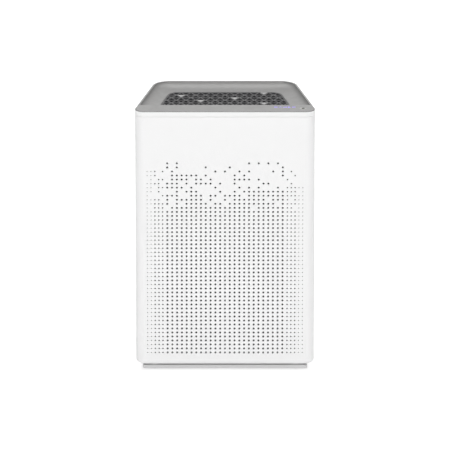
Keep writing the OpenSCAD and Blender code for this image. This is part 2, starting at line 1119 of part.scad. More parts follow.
module trim_bar()
{
    color("dimgray")
        translate([-trim_x - trim_w / 2, yf + trim_y - trim_d / 2, body_h - trim_t])
            cube([trim_w, trim_d, trim_t]);
}

row_h = tri_side * sqrt(3) / 2;
rows = ceil(body_d / row_h);
cols = ceil(body_w / tri_side);
lattice_y = (strip_y1 + yb - cove) / 2;

// Triangle of the lattice: i counts half sides across, j counts rows back
module triangle(i, j, grow = 0)
{
    up = (i + j) % 2 == 0;
    translate([i * tri_side / 2, lattice_y + (j + (up ? -1 : 1) / 6) * row_h])
        rotate(up ? 90 : -90)
            circle(r = (tri_side / (2 * sqrt(3)) - rib / 2 + grow) * 2, $fn = 3);
}

module outlet_grille()
{
    color("dimgray")
        translate([0, 0, grille_z - grille_t])
            linear_extrude(grille_t)
                difference()
                {
                    grille_plan(0.2);
                    intersection()
                    {
                        grille_plan(4);
                        for (i = [-cols:cols], j = [-5:5])
                            triangle(i, j);
                    }
                }
}

accent_cells = [[-9, 2], [-5, 0], [2, 1], [8, 3], [8, -1]];

module grille_accents()
{
    color("gainsboro")
        for (c = accent_cells)
            translate([0, 0, grille_z])
                linear_extrude(0.8)
                    triangle(c[0], c[1], 0.6);
}

module control_board()
{
    color("darkgreen")
        union()
        {
            translate([60, yf + 10, board_z])
                cube([button_px + 8 - 60, strip_d - 14, board_t]);
            for (x = [66, 96, 150])
                translate([x, strip_y1 - strip_wall - 5, board_z + board_t - eps])
                    cylinder(h = body_h - strip_t - board_z - board_t + eps, r = 2.4);
        }
}

module light_guide()
{
    span = icons * icon_pitch;
    color("mediumslateblue")
        translate([icon_x, yf + icon_y, 0])
            union()
            {
                translate([-span / 2, -3, body_h - strip_t - 3])
                    cube([span, 6, 3]);
                for (i = [0:icons - 1])
                    translate([(i - (icons - 1) / 2) * icon_pitch, 0, body_h - strip_t - eps])
                        cylinder(h = strip_t + eps, r = icon_r);
            }
}

module button_bezel()
{
    color("lightgray")
        translate([button_px, button_py, body_h - bezel_t])
            difference()
            {
                cylinder(h = bezel_t, r = bezel_r);
                translate([0, 0, -1])
                    cylinder(h = bezel_t + 2, r = button_r + cap_clear);
            }
}

flange_z = body_h - bezel_t - 1.6;

module power_button()
{
    stem_z = board_z + board_t + switch_h + 0.6 + button_travel + 0.2;
    color("darkolivegreen")
        translate([button_px, button_py, 0])
            union()
            {
                translate([0, 0, flange_z])
                    cylinder(h = body_h - flange_z, r = button_r);
                translate([0, 0, flange_z])
                    cylinder(h = 1.4, r = flange_r);
                translate([0, 0, stem_z])
                    cylinder(h = flange_z - stem_z + eps, r = 1.5);
            }
}

spring_turns = 5;
spring_sides = 6;
spring_rings = 60;
spring_z0 = board_z + board_t;
spring_z1 = flange_z;

function spring_point(i, k) =
    let (a = i * spring_turns * 360 / spring_rings, b = k * 360 / spring_sides,
        h = spring_z1 - spring_z0 - 2 * spring_wire)
    [(spring_r + spring_wire * cos(b)) * cos(a),
     (spring_r + spring_wire * cos(b)) * sin(a),
     spring_wire + i * h / spring_rings + spring_wire * sin(b)];

module button_spring()
{
    n = spring_sides;
    points = [for (i = [0:spring_rings], k = [0:n - 1]) spring_point(i, k)];
    sides = [for (i = [0:spring_rings - 1], k = [0:n - 1])
        [i * n + k, i * n + (k + 1) % n, (i + 1) * n + (k + 1) % n, (i + 1) * n + k]];
    ends = [[for (k = [n - 1:-1:0]) k], [for (k = [0:n - 1]) spring_rings * n + k]];
    color("silver")
        translate([button_px, button_py, spring_z0])
            polyhedron(points, concat(sides, ends));
}

module tact_switch()
{
    color("black")
        translate([button_px, button_py, board_z + board_t])
            union()
            {
                translate([-switch_w / 2, -switch_w / 2, 0])
                    cube([switch_w, switch_w, switch_h]);
                cylinder(h = switch_h + 0.6, r = 1);
            }
}

plinth();
feet();
base_screws();
rear_housing();
rear_screws();
front_panel();
panel_magnets();
filter_bay();
catch_plates();
door_switch();
prefilter_frame();
prefilter_mesh();
carbon_frame();
carbon_core();
hepa_frame();
hepa_pleats();
pull_tabs();
inlet_guard();
inlet_ring();
fan_duct();
duct_back();
impeller();
impeller_nut();
motor_shaft();
motor_rotor();
motor_stator();
motor_housing();
motor_cap();
bearing_front();
bearing_rear();
motor_screws();
ionizer();
dust_sensor();
power_board();
board_cover();
cord_inlet();
top_deck();
outlet_grille();
grille_accents();
control_board();
light_guide();
trim_bar();
button_bezel();
power_button();
button_spring();
tact_switch();
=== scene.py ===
# %% [markdown]
# A floor-standing air purifier, dressed for its portrait.
#
# The engineering model gives every part's place, and this file gives the visible parts their looks.
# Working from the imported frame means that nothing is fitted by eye: each piece takes its size from the
# part that it stands for, and it moves with the same body.

# %% Load the frame and note the size of the object
import json
import math
import bpy
import bmesh
from mathutils import Vector
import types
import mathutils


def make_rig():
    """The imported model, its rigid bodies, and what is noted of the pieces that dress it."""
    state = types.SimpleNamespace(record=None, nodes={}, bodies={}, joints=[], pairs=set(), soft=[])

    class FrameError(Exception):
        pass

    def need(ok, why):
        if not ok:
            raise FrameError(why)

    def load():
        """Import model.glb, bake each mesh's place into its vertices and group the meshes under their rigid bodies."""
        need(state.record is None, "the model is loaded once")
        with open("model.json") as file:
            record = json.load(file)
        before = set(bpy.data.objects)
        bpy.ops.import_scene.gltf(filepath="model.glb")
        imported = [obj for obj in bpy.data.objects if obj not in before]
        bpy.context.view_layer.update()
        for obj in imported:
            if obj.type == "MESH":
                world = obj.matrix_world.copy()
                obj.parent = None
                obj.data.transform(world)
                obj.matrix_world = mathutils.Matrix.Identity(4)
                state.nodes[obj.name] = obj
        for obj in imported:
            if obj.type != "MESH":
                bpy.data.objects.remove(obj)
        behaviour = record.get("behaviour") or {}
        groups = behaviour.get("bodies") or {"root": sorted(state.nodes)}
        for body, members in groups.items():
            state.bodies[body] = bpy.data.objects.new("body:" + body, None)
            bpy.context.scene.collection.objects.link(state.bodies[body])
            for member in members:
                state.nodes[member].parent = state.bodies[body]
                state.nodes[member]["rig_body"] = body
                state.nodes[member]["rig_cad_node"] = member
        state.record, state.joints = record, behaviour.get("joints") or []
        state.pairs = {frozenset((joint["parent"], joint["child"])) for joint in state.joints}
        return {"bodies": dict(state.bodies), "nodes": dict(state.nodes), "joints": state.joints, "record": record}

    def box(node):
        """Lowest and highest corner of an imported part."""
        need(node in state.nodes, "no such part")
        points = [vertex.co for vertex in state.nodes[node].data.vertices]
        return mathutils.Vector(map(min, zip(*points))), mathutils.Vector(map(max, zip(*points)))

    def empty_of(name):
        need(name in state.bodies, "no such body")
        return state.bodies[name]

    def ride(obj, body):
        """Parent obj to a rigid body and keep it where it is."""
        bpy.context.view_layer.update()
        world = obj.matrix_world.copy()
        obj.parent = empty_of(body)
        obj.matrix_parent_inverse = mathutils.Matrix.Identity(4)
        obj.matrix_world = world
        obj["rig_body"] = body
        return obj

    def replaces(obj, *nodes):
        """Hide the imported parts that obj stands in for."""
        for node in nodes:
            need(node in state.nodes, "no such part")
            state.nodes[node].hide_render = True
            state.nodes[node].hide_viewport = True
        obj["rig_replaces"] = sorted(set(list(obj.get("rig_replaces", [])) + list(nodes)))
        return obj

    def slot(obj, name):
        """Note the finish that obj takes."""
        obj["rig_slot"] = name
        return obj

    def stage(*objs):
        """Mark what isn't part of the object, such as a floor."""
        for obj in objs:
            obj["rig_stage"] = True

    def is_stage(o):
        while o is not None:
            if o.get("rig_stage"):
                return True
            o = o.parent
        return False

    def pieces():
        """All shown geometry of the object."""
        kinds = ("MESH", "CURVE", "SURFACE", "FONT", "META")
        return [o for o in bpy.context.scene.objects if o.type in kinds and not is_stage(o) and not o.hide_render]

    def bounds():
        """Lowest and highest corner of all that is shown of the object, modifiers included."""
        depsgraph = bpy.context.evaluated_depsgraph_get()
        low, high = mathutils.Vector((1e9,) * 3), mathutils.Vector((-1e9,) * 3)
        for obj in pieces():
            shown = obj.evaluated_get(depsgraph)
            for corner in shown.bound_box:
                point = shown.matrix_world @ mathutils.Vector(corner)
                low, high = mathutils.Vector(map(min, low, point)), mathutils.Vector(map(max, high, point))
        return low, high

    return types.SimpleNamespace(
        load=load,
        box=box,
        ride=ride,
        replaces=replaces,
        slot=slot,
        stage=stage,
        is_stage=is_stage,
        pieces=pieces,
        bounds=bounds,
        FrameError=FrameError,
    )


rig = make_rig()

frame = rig.load()
cad_low, cad_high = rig.bounds()
MM = 0.001
print("object", [round(v, 4) for v in (cad_high - cad_low)])

# %% [markdown]
# The few sizes that shape the shells. A maker would keep them in one list, because the front panel, the
# shell behind it and the top must agree on the same outline: a box that narrows towards its back, with
# small front corners and larger back corners.

# %% Sizes that the shells share
shell_low, shell_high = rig.box("rear_housing")
deck_low, deck_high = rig.box("top_deck")
panel_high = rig.box("front_panel")[1]
grille_low, grille_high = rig.box("outlet_grille")
FRONT, BACK = shell_low[1], shell_high[1]
DEPTH = BACK - FRONT
# Widths where the leaning sides would meet the front and the back
WIDTH = 394 * MM
TOP = deck_high[2]
SHELL_TOP = shell_high[2]
BACK_WIDTH = 300 * MM
WALL = 2.5 * MM
FRONT_R = 20 * MM
BACK_R = 38 * MM
BOTTOM_R = 8 * MM
LEAN = (WIDTH - BACK_WIDTH) / 2
SIDE = math.hypot(LEAN, DEPTH)
NX, NY = DEPTH / SIDE, LEAN / SIDE
SIDE_K = NX * WIDTH / 2 + NY * FRONT
print("shell", round(WIDTH, 4), round(DEPTH, 4), round(TOP, 4))

# %% [markdown]
# The camera comes first, so that every later look is through the right lens. The sides of the object
# stay parallel in its portrait, which is what a long lens from far away does. The camera looks down at
# the top by less than twenty degrees.

# %% Camera
PITCH = math.radians(18.56)
DISTANCE = 14.0
LENS = 519.5
camera_data = bpy.data.cameras.new("portrait")
camera = bpy.data.objects.new("portrait", camera_data)
bpy.context.scene.collection.objects.link(camera)
bpy.context.scene.camera = camera
camera_data.sensor_width = 36
camera_data.lens = LENS
camera_data.clip_end = 100
aim = Vector((0, FRONT * 0.5, 0.3156))
camera.location = aim + DISTANCE * Vector((0, -math.cos(PITCH), math.sin(PITCH)))
camera.rotation_euler = (math.pi / 2 - PITCH, 0, 0)
print("lens", round(camera_data.lens))

# %% [markdown]
# A product like this is shown in a white cove: a white floor that runs out of the frame, one large
# soft light in front, one above, and weaker ones at the sides, so that round corners darken softly and
# still show their shape. The floor gives off a little light, and more towards the camera, which keeps it
# white to the edge of the frame.

# %% Floor
def deselect():
    if bpy.context.object and bpy.context.object.mode == "EDIT":
        bpy.ops.object.mode_set(mode="OBJECT")
    bpy.ops.object.select_all(action="DESELECT")


deselect()
bpy.ops.mesh.primitive_plane_add(size=120, location=(0, 0, cad_low[2]))
floor = bpy.context.object
floor.name = "floor"
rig.stage(floor)
floor_paint = bpy.data.materials.new("floor_white")
floor_paint.use_nodes = True
floor_shader = floor_paint.node_tree.nodes["Principled BSDF"]
floor_shader.inputs["Base Color"].default_value = (0.6, 0.6, 0.6, 1)
floor_shader.inputs["Emission Color"].default_value = (1, 1, 1, 1)
white_out = floor_paint.node_tree.nodes.new("ShaderNodeMapRange")
white_out.inputs["To Min"].default_value = 0.32
white_out.inputs["To Max"].default_value = 0.6
camera_ray = floor_paint.node_tree.nodes.new("ShaderNodeLightPath").outputs["Is Camera Ray"]
floor_paint.node_tree.links.new(camera_ray, white_out.inputs["Value"])
floor_paint.node_tree.links.new(white_out.outputs["Result"], floor_shader.inputs["Emission Strength"])
floor_shader.inputs["Roughness"].default_value = 0.9
floor_shader.inputs["Specular IOR Level"].default_value = 0.1
floor.data.materials.append(floor_paint)

# %% Light
def soft_light(name, place, size, power, target=(0, 0, 0.3)):
    data = bpy.data.lights.new(name, "AREA")
    data.shape = "SQUARE"
    data.size = size
    data.energy = power
    lamp = bpy.data.objects.new(name, data)
    bpy.context.scene.collection.objects.link(lamp)
    lamp.location = place
    lamp.rotation_euler = (Vector(target) - Vector(place)).to_track_quat("-Z", "Y").to_euler()
    return lamp


soft_light("front_box", (0, -4.2, 2.3), 3.2, 90)
soft_light("top_box", (0, 0.2, 4.2), 4.5, 184)
soft_light("left_box", (-4.0, 0.6, 1.6), 2.0, 7)
soft_light("right_box", (4.0, 0.6, 1.6), 2.0, 9)
soft_light("back_box", (0, 5.5, 1.9), 4.0, 45)
world = bpy.data.worlds.new("cove")
world.use_nodes = True
sky = world.node_tree
backdrop = sky.nodes["Background"]
backdrop.inputs["Color"].default_value = (1, 1, 1, 1)
seen = sky.nodes.new("ShaderNodeLightPath")
strength = sky.nodes.new("ShaderNodeMapRange")
strength.inputs["To Min"].default_value = 0.25
strength.inputs["To Max"].default_value = 1.0
sky.links.new(seen.outputs["Is Camera Ray"], strength.inputs["Value"])
sky.links.new(strength.outputs["Result"], backdrop.inputs["Strength"])
bpy.context.scene.world = world
bpy.context.scene.view_settings.view_transform = "Standard"
print("lights", len(bpy.data.lights))

# %% [markdown]
# Moulded plastic is never one flat colour. It has a fine spark-eroded grain from the mould, slow changes
# of tone where the melt cooled differently, and small changes of gloss. That effect is built once as a
# shader group and placed in every plastic with its own values.

# %% Group: moulded surface
def new_group(name, inputs, outputs):
    group = bpy.data.node_groups.new(name, "ShaderNodeTree")
    for label, kind, value in inputs:
        socket = group.interface.new_socket(label, in_out="INPUT", socket_type=kind)
        socket.default_value = value
    for label, kind in outputs:
        group.interface.new_socket(label, in_out="OUTPUT", socket_type=kind)
    return group, group.nodes.new("NodeGroupInput"), group.nodes.new("NodeGroupOutput")


def add_node(tree, kind, **values):
    node = tree.nodes.new(kind)
    for key, value in values.items():
        setattr(node, key, value)
    return node


def noise(tree, vector, scale, detail=3.0):
    node = tree.nodes.new("ShaderNodeTexNoise")
    node.inputs["Scale"].default_value = scale
    node.inputs["Detail"].default_value = detail
    tree.links.new(vector, node.inputs["Vector"])
    return node.outputs["Fac"]


def spread(tree, value, low, high):
    """Maps a noise value from its usual span to low..high."""
    node = tree.nodes.new("ShaderNodeMapRange")
    node.inputs["From Min"].default_value = 0.3
    node.inputs["From Max"].default_value = 0.7
    for key, end in (("To Min", low), ("To Max", high)):
        if isinstance(end, (int, float)):
            node.inputs[key].default_value = end
        else:
            tree.links.new(end, node.inputs[key])
    tree.links.new(value, node.inputs["Value"])
    return node.outputs["Result"]


def scale_color(tree, color, factor):
    node = tree.nodes.new("ShaderNodeVectorMath")
    node.operation = "SCALE"
    tree.links.new(color, node.inputs[0])
    tree.links.new(factor, node.inputs["Scale"])
    return node.outputs["Vector"]


def math_node(tree, operation, a, b):
    node = tree.nodes.new("ShaderNodeMath")
    node.operation = operation
    for index, value in enumerate((a, b)):
        if isinstance(value, (int, float)):
            node.inputs[index].default_value = value
        else:
            tree.links.new(value, node.inputs[index])
    return node.outputs[0]


FLOAT, COLOR = "NodeSocketFloat", "NodeSocketColor"
moulding, mould_in, mould_out = new_group(
    "moulded_surface",
    [("Color", COLOR, (0.8, 0.8, 0.8, 1)), ("Tone", FLOAT, 0.02), ("Roughness", FLOAT, 0.45),
     ("Gloss change", FLOAT, 0.06), ("Grain size", FLOAT, 900.0)],
    [("Color", COLOR), ("Roughness", FLOAT), ("Height", FLOAT)])
place = moulding.nodes.new("ShaderNodeTexCoord").outputs["Object"]
slow = noise(moulding, place, 7.0)
fast = noise(moulding, place, 60.0)
low_tone = math_node(moulding, "SUBTRACT", 1.0, mould_in.outputs["Tone"])
tone = spread(moulding, slow, low_tone, 1.0)
moulding.links.new(scale_color(moulding, mould_in.outputs["Color"], tone), mould_out.inputs["Color"])
gloss_low = math_node(moulding, "SUBTRACT", mould_in.outputs["Roughness"], mould_in.outputs["Gloss change"])
gloss_high = math_node(moulding, "ADD", mould_in.outputs["Roughness"], mould_in.outputs["Gloss change"])
moulding.links.new(spread(moulding, fast, gloss_low, gloss_high), mould_out.inputs["Roughness"])
grain = moulding.nodes.new("ShaderNodeTexNoise")
grain.inputs["Detail"].default_value = 2.0
moulding.links.new(place, grain.inputs["Vector"])
moulding.links.new(mould_in.outputs["Grain size"], grain.inputs["Scale"])
moulding.links.new(grain.outputs["Fac"], mould_out.inputs["Height"])

# %% [markdown]
# Convex edges take a lighter copy of the colour, a painted highlight along them, and dust settles on what faces
# up. Both are masks: one looks for convex places on the mesh, the other for upward normals broken up by
# noise. They only tint the colour, the dust as on a clean object that has stood in a room for a while.

# %% Group: painted edge highlight and dust
edge_highlight_and_dust, edge_highlight_and_dust_in, edge_highlight_and_dust_out = new_group(
    "painted_edge_highlight_and_dust",
    [("Color", COLOR, (0.8, 0.8, 0.8, 1)), ("Edge highlight color", COLOR, (0.9, 0.9, 0.9, 1)),
     ("Edge highlight amount", FLOAT, 0.3), ("Dust amount", FLOAT, 0.05)],
    [("Color", COLOR)])
geometry = edge_highlight_and_dust.nodes.new("ShaderNodeNewGeometry")
edge_ramp = edge_highlight_and_dust.nodes.new("ShaderNodeMapRange")
edge_ramp.inputs["From Min"].default_value = 0.52
edge_ramp.inputs["From Max"].default_value = 0.62
edge_highlight_and_dust.links.new(geometry.outputs["Pointiness"], edge_ramp.inputs["Value"])
# Convex places, found by pointiness, are mixed towards a lighter colour: a painted highlight on the edges.
edge_highlight_mask = math_node(edge_highlight_and_dust, "MULTIPLY", edge_ramp.outputs["Result"], edge_highlight_and_dust_in.outputs["Edge highlight amount"])
edge_highlight_mix = add_node(edge_highlight_and_dust, "ShaderNodeMix", data_type="RGBA")
edge_highlight_and_dust.links.new(edge_highlight_mask, edge_highlight_mix.inputs["Factor"])
edge_highlight_and_dust.links.new(edge_highlight_and_dust_in.outputs["Color"], edge_highlight_mix.inputs[6])
edge_highlight_and_dust.links.new(edge_highlight_and_dust_in.outputs["Edge highlight color"], edge_highlight_mix.inputs[7])
up = edge_highlight_and_dust.nodes.new("ShaderNodeSeparateXYZ")
edge_highlight_and_dust.links.new(geometry.outputs["Normal"], up.inputs["Vector"])
room_place = edge_highlight_and_dust.nodes.new("ShaderNodeTexCoord").outputs["Object"]
dust_noise = spread(edge_highlight_and_dust, noise(edge_highlight_and_dust, room_place, 26.0, 5.0), 0.0, 1.0)
dust_up = math_node(edge_highlight_and_dust, "MULTIPLY", math_node(edge_highlight_and_dust, "MAXIMUM", up.outputs["Z"], 0.0), dust_noise)
dust_mask = math_node(edge_highlight_and_dust, "MULTIPLY", dust_up, edge_highlight_and_dust_in.outputs["Dust amount"])
dust_mix = add_node(edge_highlight_and_dust, "ShaderNodeMix", data_type="RGBA")
dust_mix.inputs[7].default_value = (0.62, 0.60, 0.56, 1)
edge_highlight_and_dust.links.new(dust_mask, dust_mix.inputs["Factor"])
edge_highlight_and_dust.links.new(edge_highlight_mix.outputs[2], dust_mix.inputs[6])
edge_highlight_and_dust.links.new(dust_mix.outputs[2], edge_highlight_and_dust_out.inputs["Color"])
print("groups", [group.name for group in bpy.data.node_groups])

# %% [markdown]
# One recipe then makes every finish of the object: the moulded group gives colour, gloss and grain, the
# edge group tints it with dust and with a painted highlight on convex edges, and the shader's own sockets hold what is
# the same all over.

# %% Finishes
# edge sets the strength of the painted highlight on convex edges; dust sets the amount of dust on what faces up.
def finish_of(name, color, roughness=0.45, tone=0.03, gloss=0.06, grain=900, depth=0.02, metal=0.0,
              edge=0.15, dust=0.04, specular=0.5):
    paint = bpy.data.materials.new(name)
    paint.use_nodes = True
    tree = paint.node_tree
    shader = tree.nodes["Principled BSDF"]
    surface = add_node(tree, "ShaderNodeGroup", node_tree=moulding)
    surface.inputs["Color"].default_value = (*color, 1)
    surface.inputs["Tone"].default_value = tone
    surface.inputs["Roughness"].default_value = roughness
    surface.inputs["Gloss change"].default_value = gloss
    surface.inputs["Grain size"].default_value = grain
    edges = add_node(tree, "ShaderNodeGroup", node_tree=edge_highlight_and_dust)
    # The edge colour is a lighter copy of the colour: the painted highlight on convex edges.
    edges.inputs["Edge highlight color"].default_value = (*[min(1.0, c * 1.25 + 0.03) for c in color], 1)
    edges.inputs["Edge highlight amount"].default_value = edge
    edges.inputs["Dust amount"].default_value = dust
    tree.links.new(surface.outputs["Color"], edges.inputs["Color"])
    tree.links.new(edges.outputs["Color"], shader.inputs["Base Color"])
    tree.links.new(surface.outputs["Roughness"], shader.inputs["Roughness"])
    bump = tree.nodes.new("ShaderNodeBump")
    bump.inputs["Strength"].default_value = 0.35
    bump.inputs["Distance"].default_value = depth * MM
    tree.links.new(surface.outputs["Height"], bump.inputs["Height"])
    tree.links.new(bump.outputs["Normal"], shader.inputs["Normal"])
    shader.inputs["Metallic"].default_value = metal
    shader.inputs["Specular IOR Level"].default_value = specular
    return paint


shell_white = finish_of("shell_white", (0.86, 0.86, 0.86), 0.42, tone=0.012, depth=0.012, dust=0.01)
plinth_grey = finish_of("plinth_grey", (0.72, 0.72, 0.72), 0.5)
foot_rubber = finish_of("foot_rubber", (0.03, 0.03, 0.03), 0.8, grain=500, depth=0.05, specular=0.3)
screw_steel = finish_of("screw_steel", (0.60, 0.60, 0.61), 0.32, metal=1.0, grain=1500, tone=0.08)
magnet_nickel = finish_of("magnet_nickel", (0.50, 0.50, 0.52), 0.25, metal=1.0)
duct_grey = finish_of("duct_grey", (0.012, 0.012, 0.013), 0.6, tone=0.15, specular=0.3)
inner_plastic = finish_of("inner_plastic", (0.70, 0.70, 0.70), 0.5)
switch_black = finish_of("switch_black", (0.02, 0.02, 0.02), 0.4)
filter_grey = finish_of("filter_grey", (0.13, 0.135, 0.14), 0.55, tone=0.1)
filter_white = finish_of("filter_white", (0.78, 0.77, 0.74), 0.8, grain=400, depth=0.06)
carbon_black = finish_of("carbon_black", (0.02, 0.02, 0.02), 0.9, tone=0.3, grain=300, depth=0.4)
tab_blue = finish_of("tab_blue", (0.03, 0.10, 0.35), 0.8, grain=700, depth=0.1)
fan_grey = finish_of("fan_grey", (0.03, 0.03, 0.033), 0.45)
shaft_steel = finish_of("shaft_steel", (0.62, 0.62, 0.63), 0.22, metal=1.0, grain=1800)
motor_grey = finish_of("motor_grey", (0.22, 0.22, 0.23), 0.4, metal=0.7)
# edge=0.3 on the top and edge=0.5 on the grille give their edges and ribs a stronger painted highlight.
deck_silver = finish_of("deck_silver", (0.235, 0.233, 0.23), 0.42, tone=0.05, gloss=0.05, grain=1400,
                        depth=0.02, metal=0.12, edge=0.3, dust=0.02, specular=0.35)
grille_dark = finish_of("grille_dark", (0.055, 0.055, 0.058), 0.45, tone=0.1, edge=0.5, dust=0.05,
                        specular=0.35)
accent_grey = finish_of("accent_grey", (0.28, 0.28, 0.28), 0.4)
trim_dark = finish_of("trim_dark", (0.16, 0.16, 0.16), 0.4)
bezel_light = finish_of("bezel_light", (0.34, 0.34, 0.33), 0.4)
button_olive = finish_of("button_olive", (0.016, 0.02, 0.009), 0.55, dust=0.0, specular=0.15)
print("finishes", len(bpy.data.materials))

# %% [markdown]
# Four surfaces need a pattern of their own. The circuit boards have tracks under their solder mask, the
# pre-filter net is woven, the stator shows its enamelled wire, and the pleated sheet has paper fibres.

# %% Patterned finishes
def stripes(tree, scale, direction):
    coordinate = tree.nodes.new("ShaderNodeTexCoord")
    wave = add_node(tree, "ShaderNodeTexWave", wave_type="BANDS", bands_direction=direction)
    wave.inputs["Scale"].default_value = scale
    wave.inputs["Distortion"].default_value = 0.3
    tree.links.new(coordinate.outputs["Object"], wave.inputs["Vector"])
    return wave.outputs["Fac"]


def patterned(name, dark, light, roughness, fields, depth, metal=0.0):
    paint = bpy.data.materials.new(name)
    paint.use_nodes = True
    tree = paint.node_tree
    shader = tree.nodes["Principled BSDF"]
    pattern = stripes(tree, *fields[0])
    for field in fields[1:]:
        pattern = math_node(tree, "MULTIPLY", pattern, stripes(tree, *field))
    coordinate = tree.nodes.new("ShaderNodeTexCoord")
    cloud = spread(tree, noise(tree, coordinate.outputs["Object"], 90.0), 0.8, 1.1)
    shade = math_node(tree, "MULTIPLY", pattern, cloud)
    mix = add_node(tree, "ShaderNodeMix", data_type="RGBA")
    mix.inputs[6].default_value = (*dark, 1)
    mix.inputs[7].default_value = (*light, 1)
    tree.links.new(shade, mix.inputs["Factor"])
    tree.links.new(mix.outputs[2], shader.inputs["Base Color"])
    tree.links.new(spread(tree, shade, roughness - 0.08, roughness + 0.08), shader.inputs["Roughness"])
    bump = tree.nodes.new("ShaderNodeBump")
    bump.inputs["Distance"].default_value = depth * MM
    tree.links.new(pattern, bump.inputs["Height"])
    tree.links.new(bump.outputs["Normal"], shader.inputs["Normal"])
    shader.inputs["Metallic"].default_value = metal
    return paint


board_green = patterned("board_green", (0.004, 0.05, 0.02), (0.02, 0.16, 0.06), 0.35,
                        [(90, "X"), (60, "Y")], 0.05)
net_grey = patterned("net_grey", (0.012, 0.012, 0.013), (0.11, 0.11, 0.12), 0.7,
                     [(320, "X"), (320, "Z")], 0.3)
winding_copper = patterned("winding_copper", (0.20, 0.06, 0.02), (0.60, 0.25, 0.10), 0.35,
                           [(500, "Y")], 0.2, metal=0.8)
filter_paper = patterned("filter_paper", (0.66, 0.64, 0.58), (0.80, 0.79, 0.74), 0.85,
                         [(150, "Z")], 0.1)

# %% [markdown]
# The icons are small openings in the silver top with a violet light behind them. An emitting surface does
# that, its strength varied a little by fine noise.

# %% Lit finish
def lit(name, color, strength):
    paint = bpy.data.materials.new(name)
    paint.use_nodes = True
    tree = paint.node_tree
    shader = tree.nodes["Principled BSDF"]
    coordinate = tree.nodes.new("ShaderNodeTexCoord")
    flicker = spread(tree, noise(tree, coordinate.outputs["Object"], 300.0), 0.82, 1.0)
    tint = add_node(tree, "ShaderNodeRGB")
    tint.outputs[0].default_value = (*color, 1)
    glow = scale_color(tree, tint.outputs[0], flicker)
    tree.links.new(glow, shader.inputs["Base Color"])
    tree.links.new(glow, shader.inputs["Emission Color"])
    shader.inputs["Emission Strength"].default_value = strength
    shader.inputs["Roughness"].default_value = 0.3
    return paint


icon_light = lit("icon_light", (0.22, 0.16, 0.60), 0.65)

# %% [markdown]
# Parts whose engineering shape is already right only need their finish. They keep their own mesh, and
# each one gets the material of what it is made of.

# %% Finishes of the parts that stay
KEPT = {
    "feet": foot_rubber, "base_screws": screw_steel, "rear_screws": screw_steel,
    "panel_magnets": magnet_nickel, "filter_bay": inner_plastic, "catch_plates": screw_steel,
    "door_switch": switch_black, "prefilter_frame": filter_grey, "prefilter_mesh": net_grey,
    "carbon_frame": filter_grey, "carbon_core": carbon_black, "hepa_frame": filter_white,
    "hepa_pleats": filter_paper, "pull_tabs": tab_blue, "inlet_guard": screw_steel,
    "inlet_ring": duct_grey, "fan_duct": duct_grey, "duct_back": duct_grey, "impeller": fan_grey,
    "impeller_nut": screw_steel, "motor_shaft": shaft_steel, "motor_rotor": magnet_nickel,
    "motor_stator": winding_copper, "motor_housing": motor_grey, "motor_cap": motor_grey,
    "bearing_front": shaft_steel, "bearing_rear": shaft_steel, "motor_screws": screw_steel,
    "ionizer": inner_plastic, "dust_sensor": switch_black, "power_board": board_green,
    "board_cover": inner_plastic, "cord_inlet": switch_black, "control_board": board_green,
    "button_spring": screw_steel, "tact_switch": switch_black,
}


def cad_object(node):
    for item in bpy.context.scene.objects:
        if item.get("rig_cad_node") == node:
            return item
    raise KeyError(node)


def dress(item, paint):
    item.data.materials.clear()
    item.data.materials.append(paint)


for node, paint in KEPT.items():
    dress(cad_object(node), paint)
print("dressed", len(KEPT), "parts")

# %% [markdown]
# The outline in plan. Every level of the shells and of the top is this outline drawn inwards by some
# amount, so it is worth one function: straight sides that lean towards the back, and arcs for corners.
# The points always come in the same order and number, so two outlines can be joined face by face.

# %% Outline of the body
def corner(t, radius, back):
    """Centre of the right-hand corner arc of the outline drawn inwards by t."""
    y = BACK - t - radius if back else FRONT + t + radius
    return (SIDE_K - t - radius - NY * y) / NX, y


def arc_points(centre, radius, start, end, steps):
    turns = [start + (end - start) * k / steps for k in range(steps + 1)]
    return [(centre[0] + radius * math.cos(a), centre[1] + radius * math.sin(a)) for a in turns]


TILT = math.atan2(NY, NX)


def outline(t, z, front_r=FRONT_R, back_r=BACK_R, steps=8):
    """Points of the outline, anticlockwise from the middle of the front."""
    fr, br = max(front_r - t, 0.4 * MM), max(back_r - t, 0.4 * MM)
    right = arc_points(corner(t, fr, False), fr, -math.pi / 2, TILT, steps)
    right += arc_points(corner(t, br, True), br, TILT, math.pi / 2, steps)
    left = [(-x, y) for x, y in reversed(right)]
    return [Vector((x, y, z)) for x, y in right + left]


print("outline has", len(outline(0, 0)), "points")

# %% [markdown]
# A lofted shell: one outline is laid down as a ring, and each further level is made by extruding the last
# ring and setting its points on the next outline. It is how a maker would pull a form up level by level.

# %% Helper: pull a form up level by level
def show_only(item):
    deselect()
    item.select_set(True)
    bpy.context.view_layer.objects.active = item


def select_points(mesh, wanted):
    for vertex in mesh.vertices:
        vertex.select = vertex.index in wanted
    for edge in mesh.edges:
        edge.select = all(v in wanted for v in edge.vertices)
    for face in mesh.polygons:
        face.select = all(v in wanted for v in face.vertices)


